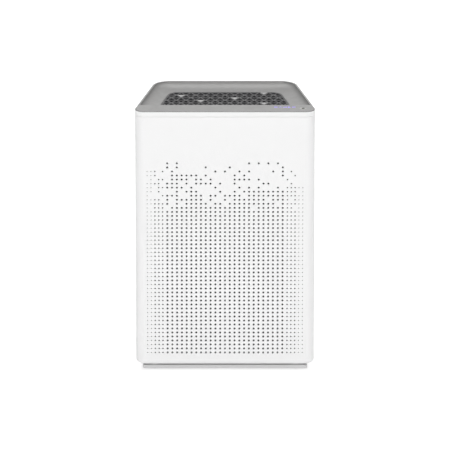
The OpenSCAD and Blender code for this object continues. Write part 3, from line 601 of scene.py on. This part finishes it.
def loft(name, levels, close_start=False, close_end=False):
    """Joins rings of equally many points, from the first level to the last."""
    deselect()
    bpy.ops.mesh.primitive_circle_add(vertices=len(levels[0]), radius=0.1, fill_type="NOTHING")
    item = bpy.context.object
    item.name = name
    mesh = item.data
    ring = list(range(len(levels[0])))
    for index, point in zip(ring, levels[0]):
        mesh.vertices[index].co = point
    first = ring
    for level in levels[1:]:
        select_points(mesh, set(ring))
        bpy.ops.object.mode_set(mode="EDIT")
        bpy.ops.mesh.select_mode(type="VERT")
        bpy.ops.mesh.extrude_region_move(TRANSFORM_OT_translate={"value": (0, 0, 0)})
        bpy.ops.object.mode_set(mode="OBJECT")
        made = [v.index for v in mesh.vertices if v.select]
        by_place = {tuple(mesh.vertices[i].co): i for i in made}
        ring = [by_place[tuple(mesh.vertices[i].co)] for i in ring]
        for index, point in zip(ring, level):
            mesh.vertices[index].co = point
    for wanted, close in ((first, close_start), (ring, close_end)):
        if close:
            select_points(mesh, set(wanted))
            bpy.ops.object.mode_set(mode="EDIT")
            bpy.ops.mesh.edge_face_add()
            bpy.ops.object.mode_set(mode="OBJECT")
    return item


def apply_modifier(item, kind, **values):
    show_only(item)
    modifier = item.modifiers.new(kind.lower(), kind)
    for key, value in values.items():
        setattr(modifier, key, value)
    bpy.ops.object.modifier_apply(modifier=modifier.name)


def outward(item):
    show_only(item)
    bpy.ops.object.mode_set(mode="EDIT")
    bpy.ops.mesh.select_all(action="SELECT")
    bpy.ops.mesh.remove_doubles(threshold=0.000002)
    bpy.ops.mesh.normals_make_consistent(inside=False)
    bpy.ops.object.mode_set(mode="OBJECT")


def settle(item):
    """Leaves the object at the origin, unturned and unscaled, with its place in its mesh."""
    show_only(item)
    bpy.ops.object.transform_apply(location=True, rotation=True, scale=True)


def smooth(item, angle=35):
    show_only(item)
    bpy.ops.object.shade_smooth_by_angle(angle=math.radians(angle))
    apply_modifier(item, "WEIGHTED_NORMAL", keep_sharp=True)


def complete(item, paint, body, slot, *nodes):
    settle(item)
    smooth(item)
    dress(item, paint)
    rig.ride(item, body)
    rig.slot(item, slot)
    if nodes:
        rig.replaces(item, *nodes)
    print(item.name, len(item.data.polygons), "faces")

# %% [markdown]
# Cutting a hole is done as in a workshop: a cutter is modelled once, copied to each place, and all of the
# cutters are taken away from the piece in one boolean step. The cutters are thrown away afterwards.

# %% Helper: cut with copies of one cutter
def copy_to(item, places):
    copies = []
    for place in places:
        twin = item.copy()
        twin.data = item.data.copy()
        twin.location = place
        bpy.context.scene.collection.objects.link(twin)
        copies.append(twin)
    return copies


def join(items):
    deselect()
    for item in items:
        item.select_set(True)
    bpy.context.view_layer.objects.active = items[0]
    if len(items) > 1:
        bpy.ops.object.join()
    whole = bpy.context.object
    bpy.ops.object.transform_apply(location=True, rotation=True, scale=True)
    return whole


def discard(item):
    bpy.data.objects.remove(item, do_unlink=True)


def cut(item, cutter, solver="MANIFOLD"):
    apply_modifier(item, "BOOLEAN", operation="DIFFERENCE", solver=solver, object=cutter)
    discard(cutter)


def box_cutter(low, high):
    deselect()
    middle = (Vector(low) + Vector(high)) / 2
    bpy.ops.mesh.primitive_cube_add(size=1, location=middle, scale=Vector(high) - Vector(low))
    item = bpy.context.object
    settle(item)
    return item

# %% [markdown]
# The outer body is one form, split into a front panel and the shell behind it, because the seam between
# them has to run true. The form is lofted from the rounded bottom edge up to the top, cut along the seam,
# and each half is given its wall. A very small bevel on every edge catches the light as moulded edges do.

# %% Body form and seam
def bottom_levels(z0, radius, steps=4):
    """Levels of a rounded edge at the bottom of the form."""
    levels = []
    for k in range(steps + 1):
        a = math.pi / 2 * k / steps
        levels.append(outline(radius * (1 - math.sin(a)), z0 + radius * (1 - math.cos(a))))
    return levels


def body_form(name, z1):
    z0 = shell_low[2]
    return loft(name, bottom_levels(z0, BOTTOM_R) + [outline(0, z1)], close_start=True)


def bisect(item, place, normal, drop_outer=False):
    show_only(item)
    bpy.ops.object.mode_set(mode="EDIT")
    bpy.ops.mesh.select_all(action="SELECT")
    bpy.ops.mesh.bisect(plane_co=place, plane_no=normal, clear_outer=drop_outer)
    bpy.ops.object.mode_set(mode="OBJECT")


def drop_faces(item, test):
    show_only(item)
    for vertex in item.data.vertices:
        vertex.select = False
    for edge in item.data.edges:
        edge.select = False
    for face in item.data.polygons:
        face.select = test(face.center)
    bpy.ops.object.mode_set(mode="EDIT")
    bpy.ops.mesh.select_mode(type="FACE")
    bpy.ops.mesh.delete(type="FACE")
    bpy.ops.mesh.select_mode(type="VERT")
    bpy.ops.object.mode_set(mode="OBJECT")


SEAM_Y = panel_high[1]
SEAM_Z = panel_high[2]
GAP = 0.5 * MM
EDGE = 0.35 * MM


def give_wall(item):
    outward(item)
    apply_modifier(item, "SOLIDIFY", thickness=WALL, offset=-1.0, use_even_offset=True)


def soften(item, width=EDGE, angle=50, segments=2):
    apply_modifier(item, "BEVEL", width=width, segments=segments, limit_method="ANGLE",
                   angle_limit=math.radians(angle), harden_normals=False)

# %% [markdown]
# The shell wraps the sides and the back, with the floor underneath and a narrow band above the panel. Its
# back carries four screw pockets and the mains inlet, and its right side a few slots for the dust sensor.

# %% Shell
shell = body_form("shell", SHELL_TOP)
bisect(shell, (0, SEAM_Y + GAP, 0), (0, 1, 0))
bisect(shell, (0, 0, SEAM_Z + GAP), (0, 0, 1))
drop_faces(shell, lambda c: c.y < SEAM_Y + GAP and c.z < SEAM_Z + GAP)
give_wall(shell)

screw_low, screw_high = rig.box("rear_screws")
HEAD_R, POCKET_R, POCKET_DEPTH = 3.8 * MM, 5.2 * MM, 8 * MM
screw_places = [(x, z) for x in (screw_low[0] + HEAD_R, screw_high[0] - HEAD_R)
                for z in (screw_low[2] + HEAD_R, screw_high[2] - HEAD_R)]
deselect()
bpy.ops.mesh.primitive_cylinder_add(vertices=32, radius=POCKET_R, depth=POCKET_DEPTH,
                                    rotation=(math.pi / 2, 0, 0))
pocket_cutter = bpy.context.object
pockets = join(copy_to(pocket_cutter, [(x, BACK, z) for x, z in screw_places]))
discard(pocket_cutter)
cut(shell, pockets)

inlet_low, inlet_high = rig.box("cord_inlet")
INLET_IN, INLET_REACH = 5 * MM - GAP, 9 * MM
cut(shell, box_cutter((inlet_low[0] + INLET_IN, BACK - INLET_REACH, inlet_low[2] + INLET_IN),
                      (inlet_high[0] - INLET_IN, BACK + INLET_REACH, inlet_high[2] - INLET_IN)))
sensor_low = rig.box("dust_sensor")[0]
VENTS, VENT_STEP, VENT_H = 5, 7 * MM, 3 * MM
VENT_X, VENT_Y = (160 * MM, 200 * MM), (-28 * MM, -4 * MM)
for k in range(VENTS):
    z = sensor_low[2] + 6 * MM + k * VENT_STEP
    cut(shell, box_cutter((VENT_X[0], VENT_Y[0], z), (VENT_X[1], VENT_Y[1], z + VENT_H)))
soften(shell)
complete(shell, shell_white, "housing", "shell_white", "rear_housing")

# %% [markdown]
# Each screw pocket is a short moulded cup, closed by a ledge that the screw head sits on. It is turned
# from a small profile, copied four times and joined.

# %% Screw pockets
def turned(name, profile, axis_place, axis="Y", sides=32, hollow=False):
    """Spins a profile of (radius, height) points round an axis. A hollow one closes on its first point."""
    if hollow:
        profile = profile + profile[:1]
    rings = []
    for radius, height in profile:
        ring = []
        for k in range(sides):
            a = 2 * math.pi * k / sides
            u, v = radius * math.cos(a), radius * math.sin(a)
            if axis == "Y":
                ring.append(Vector((axis_place[0] + u, axis_place[1] + height, axis_place[2] + v)))
            else:
                ring.append(Vector((axis_place[0] + u, axis_place[1] + v, axis_place[2] + height)))
        rings.append(ring)
    item = loft(name, rings, close_start=not hollow, close_end=not hollow)
    outward(item)
    return item


cup_profile = [(r * MM, BACK + h * MM) for r, h in
               ((2.2, -10.5), (4.7, -10.5), (4.7, -0.4), (5.1, -0.02), (5.6, -0.02), (6.4, -0.7),
                (6.4, -13.4), (2.2, -13.4))]
cups = [turned("cup", cup_profile, (x, 0, z), hollow=True) for x, z in screw_places]
screw_cups = join(cups)
screw_cups.name = "screw_cups"
complete(screw_cups, shell_white, "housing", "shell_white")

# %% [markdown]
# The front panel is what the eye meets first. Its holes stand in a regular grid that thins out upwards:
# each place has its own luck, and the chance of a hole falls row by row, so the field seems to dissolve.
# The columns at the sides are smaller, and the outermost ones smaller still. Every hole has a small
# countersink, because a moulded hole is never knife-sharp.

# %% Places of the holes
HOLE_PX, HOLE_PZ = 10.32 * MM, 9.14 * MM
HOLE_Z0 = 43.5 * MM
ROWS, COLS, SIDE_COLS, EDGE_COLS = 48, 12, 3, 2
FADE_ROWS = 12
HOLE_R, SIDE_R, EDGE_R = 2.2 * MM, 1.6 * MM, 1.05 * MM
SIDE_STEP = 0.8 * HOLE_PX
FIRST_SIDE = HOLE_PX * (COLS + 0.97)


def luck(row, c):
    value = abs(math.sin(math.radians(127.1 * row + 311.7 * c))) * 437.585
    return value - math.floor(value)


def chance(row):
    return 0.14 + 0.86 * (ROWS - 1 - row) / FADE_ROWS


def column_x(c):
    n = abs(c) - COLS
    side = 1 if c > 0 else -1
    return c * HOLE_PX if n <= 0 else side * (FIRST_SIDE + (n - 1) * SIDE_STEP)


hole_places = {HOLE_R: [], SIDE_R: [], EDGE_R: []}
last = COLS + SIDE_COLS + EDGE_COLS
for row in range(ROWS):
    for c in range(-last, last + 1):
        if luck(row, c) < chance(row):
            n = abs(c) - COLS
            radius = HOLE_R if n <= 0 else SIDE_R if n <= SIDE_COLS else EDGE_R
            hole_places[radius].append((column_x(c), FRONT, HOLE_Z0 + row * HOLE_PZ))
print("holes", {round(r / MM, 2): len(p) for r, p in hole_places.items()})

# %% Panel
panel = body_form("panel", SEAM_Z)
bisect(panel, (0, SEAM_Y, 0), (0, 1, 0), drop_outer=True)
drop_faces(panel, lambda c: c.z < shell_low[2] + 0.01 * MM)
give_wall(panel)
soften(panel)


def hole_cutter(radius):
    """A ten-sided drill with a flared mouth, standing through the front wall."""
    deselect()
    bpy.ops.mesh.primitive_cylinder_add(vertices=10, radius=radius, depth=4 * MM,
                                        location=(0, 1.6 * MM, 0), rotation=(math.pi / 2, 0, 0))
    drill = bpy.context.object
    settle(drill)
    bisect(drill, (0, 0.4 * MM, 0), (0, 1, 0))
    mouth = {v.index for v in drill.data.vertices if v.co.y < -0.3 * MM}
    select_points(drill.data, mouth)
    bpy.ops.object.mode_set(mode="EDIT")
    flare = 1 + 0.3 * MM / radius
    bpy.ops.transform.resize(value=(flare, 1, flare))
    bpy.ops.object.mode_set(mode="OBJECT")
    return drill


drills = []
for radius, places in hole_places.items():
    drill = hole_cutter(radius)
    drills += copy_to(drill, places)
    discard(drill)
all_drills = join(drills)
cut(panel, all_drills)
complete(panel, shell_white, "panel", "shell_white", "front_panel")

# %% [markdown]
# Behind the panel, four posts carry the magnets. The engineering panel has them, so the visual one does.

# %% Magnet posts
magnet_low, magnet_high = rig.box("panel_magnets")
MAGNET_R, POST_CORE, PLAY = 5 * MM, 0.6 * MM, 0.05 * MM
post_front, post_back = FRONT + WALL - 0.1 * MM, magnet_high[1]
post_profile = [(POST_CORE, post_front), (MAGNET_R + 1 * MM, post_front), (MAGNET_R + 1 * MM, post_back),
                (MAGNET_R + PLAY, post_back), (MAGNET_R + PLAY, magnet_low[1] - PLAY),
                (POST_CORE, magnet_low[1] - PLAY)]
posts = []
for x in (magnet_low[0] + MAGNET_R, magnet_high[0] - MAGNET_R):
    for z in (magnet_low[2] + MAGNET_R, magnet_high[2] - MAGNET_R):
        posts.append(turned("post", post_profile, (x, 0, z)))
magnet_posts = join(posts)
magnet_posts.name = "magnet_posts"
complete(magnet_posts, shell_white, "panel", "shell_white")

# %% [markdown]
# The silver top is one sheet-like moulding: a flat strip along the front for the controls, a softly
# rounded rim, and behind the strip a border that scoops down to the grille. The scoop follows a quarter
# ellipse, steep at the rim and flat at the grille, which gives the dark band under the rim and the bright
# one beside the grille. Its levels are outlines clipped at the strip, joined ring by ring.

# %% Levels of the scooped top
STRIP_Y = FRONT + 46 * MM
SUNK = TOP - grille_high[2]
COVE = 36 * MM
RIM_EDGE = 4.5 * MM
COVE_STEPS = 14
LAND = 1.5 * MM


def half_at(y, t):
    return (SIDE_K - t - NY * y) / NX


def basin_outline(t, back_r, z, front_y, steps=12):
    """The part of an outline behind front_y: front right, round the back, front left."""
    arc = arc_points(corner(t, back_r, True), back_r, TILT, math.pi / 2, steps)
    right = [(half_at(front_y, t), front_y)] + arc
    return [Vector((x, y, z)) for x, y in right + [(-x, y) for x, y in reversed(right)]]


def cove_level(k):
    a = math.pi / 2 * k / COVE_STEPS
    t = RIM_EDGE + (COVE - RIM_EDGE) * (1 - math.cos(a))
    radius = BACK_R - RIM_EDGE - 5 * MM * (1 - math.cos(a))
    return basin_outline(t, radius, TOP - SUNK * math.sin(a), STRIP_Y + 0.4 * MM * math.sin(a))


def grille_edge(t, z):
    """The outline of the grille's opening, drawn inwards by t."""
    return basin_outline(COVE + LAND + t, BACK_R - RIM_EDGE - 5 * MM - LAND - t, z, STRIP_Y + LAND + t)


rim_turn = [(0.0, -2.0), (0.0, -1.2), (0.35, -0.5), (1.0, -0.12), (1.8, 0.0)]
SKIRT = WALL + 0.3 * MM
cove = [cove_level(k) for k in range(COVE_STEPS + 1)]
cove += [grille_edge(0, TOP - SUNK), grille_edge(0, deck_low[2])]
print("cove has", len(cove), "levels")

# %% [markdown]
# The rim and the basin are lofted apart, since they have different numbers of points. The flat faces that
# join them, above and below, run from the rim's last ring to the basin's first one, and the control strip
# in front is one flat face.

# %% Top
def deck_outline(t, z, steps=12):
    """Outer outline with a point on each side level with the strip's rear edge."""
    fr, br = FRONT_R - t, BACK_R - t
    front = arc_points(corner(t, fr, False), fr, -math.pi / 2, TILT, steps)
    back = arc_points(corner(t, br, True), br, TILT, math.pi / 2, steps)
    right = front + [(half_at(STRIP_Y, t), STRIP_Y)] + back
    return [Vector((x, y, z)) for x, y in right + [(-x, y) for x, y in reversed(right)]]


def flat_between(builder, outer_ring, inner_ring):
    """Flat faces between the rim and the basin: the strip in front, and the land round the basin."""
    def at(point):
        return min(builder.verts, key=lambda v: (v.co - point).length_squared)
    outer = [at(p) for p in outer_ring]
    inner = [at(p) for p in inner_ring]
    half = len(outer) // 2
    behind = len(inner) // 2
    right = outer[half - behind:half]
    back = right + outer[half:half + behind]
    strip = outer[half + behind:] + outer[:half - behind]
    builder.faces.new(strip + [back[0], inner[0], inner[-1], back[-1]])
    for k in range(len(inner) - 1):
        builder.faces.new([back[k], back[k + 1], inner[k + 1], inner[k]])


rim_rings = [deck_outline(SKIRT, deck_low[2]), deck_outline(SKIRT, SHELL_TOP)]
rim_rings += [deck_outline(t * MM, TOP + z * MM) for t, z in rim_turn]
deck = join([loft("deck", rim_rings), loft("basin", cove)])
builder = bmesh.new()
builder.from_mesh(deck.data)
flat_between(builder, rim_rings[-1], cove[0])
flat_between(builder, rim_rings[0], cove[-1])
bmesh.ops.recalc_face_normals(builder, faces=builder.faces)
print("open edges of the top:", sum(len(edge.link_faces) != 2 for edge in builder.edges))
builder.to_mesh(deck.data)
builder.free()
deck.name = "deck"

# %% [markdown]
# The strip is a thin sheet over the control board, so its underside is hollowed. The controls then get
# their openings: a round well for the button and its ring, a pocket for the trim bar, and one for each
# icon.

# %% Openings for the controls
HOLLOW_X, SHEET_T = 178 * MM, 2 * MM
cut(deck, box_cutter((-HOLLOW_X, FRONT + 5.5 * MM, deck_low[2] - 1 * MM),
                     (HOLLOW_X, STRIP_Y - SHEET_T, TOP - SHEET_T)))
bezel_low, bezel_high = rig.box("button_bezel")
bezel_x, bezel_y = (bezel_low[0] + bezel_high[0]) / 2, (bezel_low[1] + bezel_high[1]) / 2
BEZEL_R = (bezel_high[0] - bezel_low[0]) / 2
deselect()
bpy.ops.mesh.primitive_cylinder_add(vertices=64, radius=BEZEL_R + 0.12 * MM, depth=12 * MM,
                                    location=(bezel_x, bezel_y, TOP))
cut(deck, bpy.context.object)
trim_low, trim_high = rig.box("trim_bar")
slit = 0.12 * MM
cut(deck, box_cutter((trim_low[0] - slit, trim_low[1] - slit, trim_low[2]),
                     (trim_high[0] + slit, trim_high[1] + slit, TOP + 2 * MM)))

# %% [markdown]
# The icons are plain signs of a few strokes: a ring, a fan, three steps, a moon and three lines. Each is
# made of flat bars and discs that fill an opening of the same shape, which is how lit icons are really
# made: the light guide shows through the sheet. Small dark marks stand in front of them.

# %% Icons
guide_low, guide_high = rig.box("light_guide")
ICONS = 5
icon_pitch = (guide_high[0] - guide_low[0]) / ICONS
icon_y = (guide_low[1] + guide_high[1]) / 2
icon_xs = [guide_low[0] + (k + 0.5) * icon_pitch for k in range(ICONS)]
ICON_TOP, ICON_T = TOP - 0.05 * MM, 2.4 * MM


def disc(x, y, radius, sides=24):
    deselect()
    bpy.ops.mesh.primitive_cylinder_add(vertices=sides, radius=radius * MM, depth=ICON_T,
                                        location=(x * MM, y * MM, ICON_TOP - ICON_T / 2))
    item = bpy.context.object
    settle(item)
    return item


def bar(x, y, length, width, angle=0.0):
    deselect()
    bpy.ops.mesh.primitive_cube_add(size=1, location=(x * MM, y * MM, ICON_TOP - ICON_T / 2),
                                    rotation=(0, 0, math.radians(angle)),
                                    scale=(length * MM, width * MM, ICON_T))
    item = bpy.context.object
    settle(item)
    return item


def minus(item, cutter):
    """Cuts with a copy drawn down to three times its height, so that it reaches right through."""
    cutter.location.z -= ICON_TOP
    settle(cutter)
    cutter.scale.z = 3
    cutter.location.z = ICON_TOP
    settle(cutter)
    cut(item, cutter)
    return item


# Strokes of the signs, in millimetres round the middle of each
signs = [
    [minus(disc(0, 0, 4.0), disc(0, 0, 2.0))],
    [bar(2.3 * math.cos(math.radians(a)), 2.3 * math.sin(math.radians(a)), 3.0, 1.9, a)
     for a in (90, 210, 330)],
    [bar(x, h / 2 - 3.6, 2.0, h) for x, h in ((-2.9, 4.2), (0, 5.8), (2.9, 7.4))],
    [minus(disc(0, 0, 3.9), disc(2.4, 1.6, 2.4))],
    [bar(0, y, 7.6, 1.7) for y in (-2.9, 0, 2.9)],
]
glyphs = []
wells = []
for x, strokes in zip(icon_xs, signs):
    sign = join(strokes)
    sign.location = (x, icon_y, 0)
    settle(sign)
    well = sign.copy()
    well.data = sign.data.copy()
    bpy.context.scene.collection.objects.link(well)
    well.location.z = 1 * MM
    settle(well)
    wells.append(well)
    glyphs.append(sign)
cut(deck, join(wells), solver="EXACT")
icon_row = join(glyphs)
icon_row.name = "icon_row"
soften(icon_row, width=0.06 * MM)
complete(icon_row, icon_light, "housing", "icon_light", "light_guide")
complete(deck, deck_silver, "housing", "deck_silver", "top_deck")

# %% [markdown]
# In front of each icon stands a small printed mark, here a plain dash. Print has no height to speak of,
# so the dashes are very thin plates let into the sheet.

# %% Printed dashes
def plate(low, high):
    item = box_cutter(low, high)
    soften(item, width=0.03 * MM)
    return item


MARK_X, MARK_D = 2.6 * MM, 0.5 * MM
MARK_Y = icon_y - 13 * MM
dashes = [plate((x - MARK_X, MARK_Y - MARK_D, TOP - 0.1 * MM),
                (x + MARK_X, MARK_Y + MARK_D, TOP - 0.0005 * MM)) for x in icon_xs]
printed_dashes = join(dashes)
printed_dashes.name = "printed_dashes"
complete(printed_dashes, trim_dark, "housing", "trim_dark")

# %% [markdown]
# The short dark bar at the left of the strip is a thin inlay with softened edges.

# %% Trim bar
trim_bar = box_cutter(trim_low, (trim_high[0], trim_high[1], TOP))
trim_bar.name = "inlay"
soften(trim_bar, width=0.25 * MM)
complete(trim_bar, trim_dark, "housing", "trim_dark", "trim_bar")

# %% [markdown]
# The button is a small domed cap on a stem, in a light ring whose lips are rounded on both sides. Both are
# turned pieces. The cap has a flange under the ring that stops it from coming out.

# %% Button and its ring
button_low, button_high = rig.box("power_button")
button_x, button_y = (button_low[0] + button_high[0]) / 2, (button_low[1] + button_high[1]) / 2
CAP_R, STEM_R, FLANGE_T = 3.5 * MM, 1.5 * MM, 1.4 * MM
flange_z = bezel_low[2] - 1.6 * MM
flange_r = (button_high[0] - button_low[0]) / 2
cap_profile = [(0.5 * MM, button_low[2]), (STEM_R, button_low[2]), (STEM_R, flange_z),
               (flange_r, flange_z), (flange_r, flange_z + FLANGE_T), (CAP_R, flange_z + FLANGE_T)]
DOME, DOME_STEPS = 0.9 * MM, 7
for k in range(DOME_STEPS):
    a = math.pi / 2 * k / DOME_STEPS
    cap_profile.append((CAP_R * math.cos(a), TOP - DOME + DOME * math.sin(a)))
cap_profile.append((0.1 * MM, TOP))
cap = turned("cap", cap_profile, (button_x, button_y, 0), axis="Z", sides=48)
complete(cap, button_olive, "button", "button_olive", "power_button")

hole_r = CAP_R + 0.2 * MM
ring_profile = [(hole_r, bezel_low[2]), (hole_r, TOP - 0.9 * MM), (hole_r + 0.25 * MM, TOP - 0.3 * MM),
                (hole_r + 0.9 * MM, TOP), (BEZEL_R - 1.1 * MM, TOP), (BEZEL_R - 0.4 * MM, TOP - 0.12 * MM),
                (BEZEL_R, TOP - 0.5 * MM), (BEZEL_R, bezel_low[2])]
ring = turned("button_ring", ring_profile, (bezel_x, bezel_y, 0), axis="Z", sides=64, hollow=True)
complete(ring, bezel_light, "housing", "bezel_light", "button_bezel")

# %% [markdown]
# The outlet grille is a flat plate with a lattice of triangles. Each opening has a flared mouth, so that
# the ribs between them have the soft crown of a moulded grid. One triangular punch with that mouth is
# copied over the lattice and clipped to the plate's border before it cuts.

# %% Lattice of the grille
TRI = 21 * MM
RIB = 3.4 * MM
ROW = TRI * math.sqrt(3) / 2
LATTICE_Y = (STRIP_Y + BACK - COVE) / 2
PUNCH_R = 2 * (TRI / (2 * math.sqrt(3)) - RIB / 2)
MOUTH = 0.7 * MM


def cell_place(i, j):
    up = (i + j) % 2 == 0
    return i * TRI / 2, LATTICE_Y + (j + (-1 if up else 1) / 6) * ROW, up


def triangle_ring(x, y, up, radius, z):
    turn = math.pi / 2 if up else -math.pi / 2
    return [Vector((x + radius * math.cos(turn + k * 2 * math.pi / 3),
                    y + radius * math.sin(turn + k * 2 * math.pi / 3), z)) for k in range(3)]


def punch(up):
    z0, z1 = grille_low[2] - 1 * MM, grille_high[2]
    rings = [triangle_ring(0, 0, up, PUNCH_R, z0), triangle_ring(0, 0, up, PUNCH_R, z1 - MOUTH),
             triangle_ring(0, 0, up, PUNCH_R + 0.7 * MOUTH, z1 - 0.25 * MOUTH),
             triangle_ring(0, 0, up, PUNCH_R + 1.6 * MOUTH, z1 + 0.02 * MM),
             triangle_ring(0, 0, up, PUNCH_R + 1.6 * MOUTH, z1 + 1 * MM)]
    item = loft("punch", rings, close_start=True, close_end=True)
    outward(item)
    return item


half_w, half_d = grille_high[0] + TRI, (grille_high[1] - grille_low[1]) / 2 + TRI
cells = {True: [], False: []}
for i in range(-20, 21):
    for j in range(-5, 6):
        x, y, up = cell_place(i, j)
        if abs(x) < half_w and abs(y - LATTICE_Y) < half_d:
            cells[up].append((x, y, 0))
punches = []
for up, places in cells.items():
    tool = punch(up)
    punches += copy_to(tool, places)
    discard(tool)
punches = join(punches)
print("lattice openings", sum(len(places) for places in cells.values()))

# %% Outlet grille
border = loft("border", [grille_edge(4 * MM, grille_low[2] - 2 * MM), grille_edge(4 * MM, TOP)],
              close_start=True, close_end=True)
outward(border)
apply_modifier(punches, "BOOLEAN", operation="INTERSECT", solver="MANIFOLD", object=border)
discard(border)
grille_levels = [grille_edge(0.2 * MM, grille_low[2]), grille_edge(0.2 * MM, grille_high[2] - 0.3 * MM),
                 grille_edge(0.5 * MM, grille_high[2])]
grille = loft("grille", grille_levels, close_start=True, close_end=True)
outward(grille)
cut(grille, punches)
complete(grille, grille_dark, "housing", "grille_grey", "outlet_grille")

# %% [markdown]
# Five cells of the lattice are filled with light triangles. They lie on the ribs as thin plates with
# rounded corners.

# %% Filled triangles
accent_low, accent_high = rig.box("grille_accents")
FILLED = [(-9, 2), (-5, 0), (2, 1), (8, 3), (8, -1)]
FILL_R = PUNCH_R + 2 * 0.6 * MM
fills = []
for i, j in FILLED:
    x, y, up = cell_place(i, j)
    rings = [triangle_ring(x, y, up, FILL_R, accent_low[2]),
             triangle_ring(x, y, up, FILL_R, accent_high[2] - 0.25 * MM),
             triangle_ring(x, y, up, FILL_R - 0.5 * MM, accent_high[2])]
    fill = loft("fill", rings, close_start=True, close_end=True)
    outward(fill)
    fills.append(fill)
filled_triangles = join(fills)
filled_triangles.name = "filled_triangles"
complete(filled_triangles, accent_grey, "housing", "accent_grey", "grille_accents")

# %% [markdown]
# The plinth is a shallow tray standing back from the body, with a neck above it that leaves a shadow
# groove. Its underside is hollow, with a boss over each rubber foot.

# %% Plinth
plinth_low, plinth_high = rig.box("plinth")
base_in = plinth_low[1] - FRONT
GROOVE, GROOVE_H, BASE_WALL, LIP = 5 * MM, 6 * MM, 3 * MM, 0.8 * MM
NECK_IN = base_in + GROOVE
NECK_Z = plinth_high[2] - GROOVE_H
HOLLOW_IN = NECK_IN + BASE_WALL
CEILING_Z = plinth_high[2] - BASE_WALL
base_levels = [(HOLLOW_IN, CEILING_Z), (HOLLOW_IN, plinth_low[2]), (base_in + LIP, plinth_low[2]),
               (base_in, plinth_low[2] + LIP), (base_in, NECK_Z - LIP),
               (base_in + 0.25 * MM, NECK_Z - 0.25 * MM), (base_in + LIP, NECK_Z), (NECK_IN, NECK_Z),
               (NECK_IN, plinth_high[2])]
plinth = loft("base", [outline(t, z) for t, z in base_levels], close_start=True, close_end=True)
outward(plinth)
complete(plinth, plinth_grey, "housing", "plinth_grey", "plinth")

# %% Foot bosses
feet_low, feet_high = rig.box("feet")
FOOT_R, FOOT_IN = 12 * MM, 45 * MM
BOSS_R = FOOT_R + 2 * MM
boss_profile = [(0.5 * MM, feet_high[2]), (BOSS_R - 0.4 * MM, feet_high[2]),
                (BOSS_R, feet_high[2] + 0.4 * MM), (BOSS_R, CEILING_Z), (0.5 * MM, CEILING_Z)]
front_feet = feet_high[0] - FOOT_R
back_feet = BACK_WIDTH / 2 - FOOT_IN
bosses = []
for side in (-1, 1):
    bosses.append(turned("boss", boss_profile, (side * front_feet, feet_low[1] + FOOT_R, 0), axis="Z"))
    bosses.append(turned("boss", boss_profile, (side * back_feet, feet_high[1] - FOOT_R, 0), axis="Z"))
foot_bosses = join(bosses)
foot_bosses.name = "foot_bosses"
complete(foot_bosses, plinth_grey, "housing", "plinth_grey")

# %% Note the size of the dressed object and close
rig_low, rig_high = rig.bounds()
with open("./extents.json", "w") as size_file:
    json.dump({"cad": [list(cad_low), list(cad_high)], "visual": [list(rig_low), list(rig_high)]}, size_file)
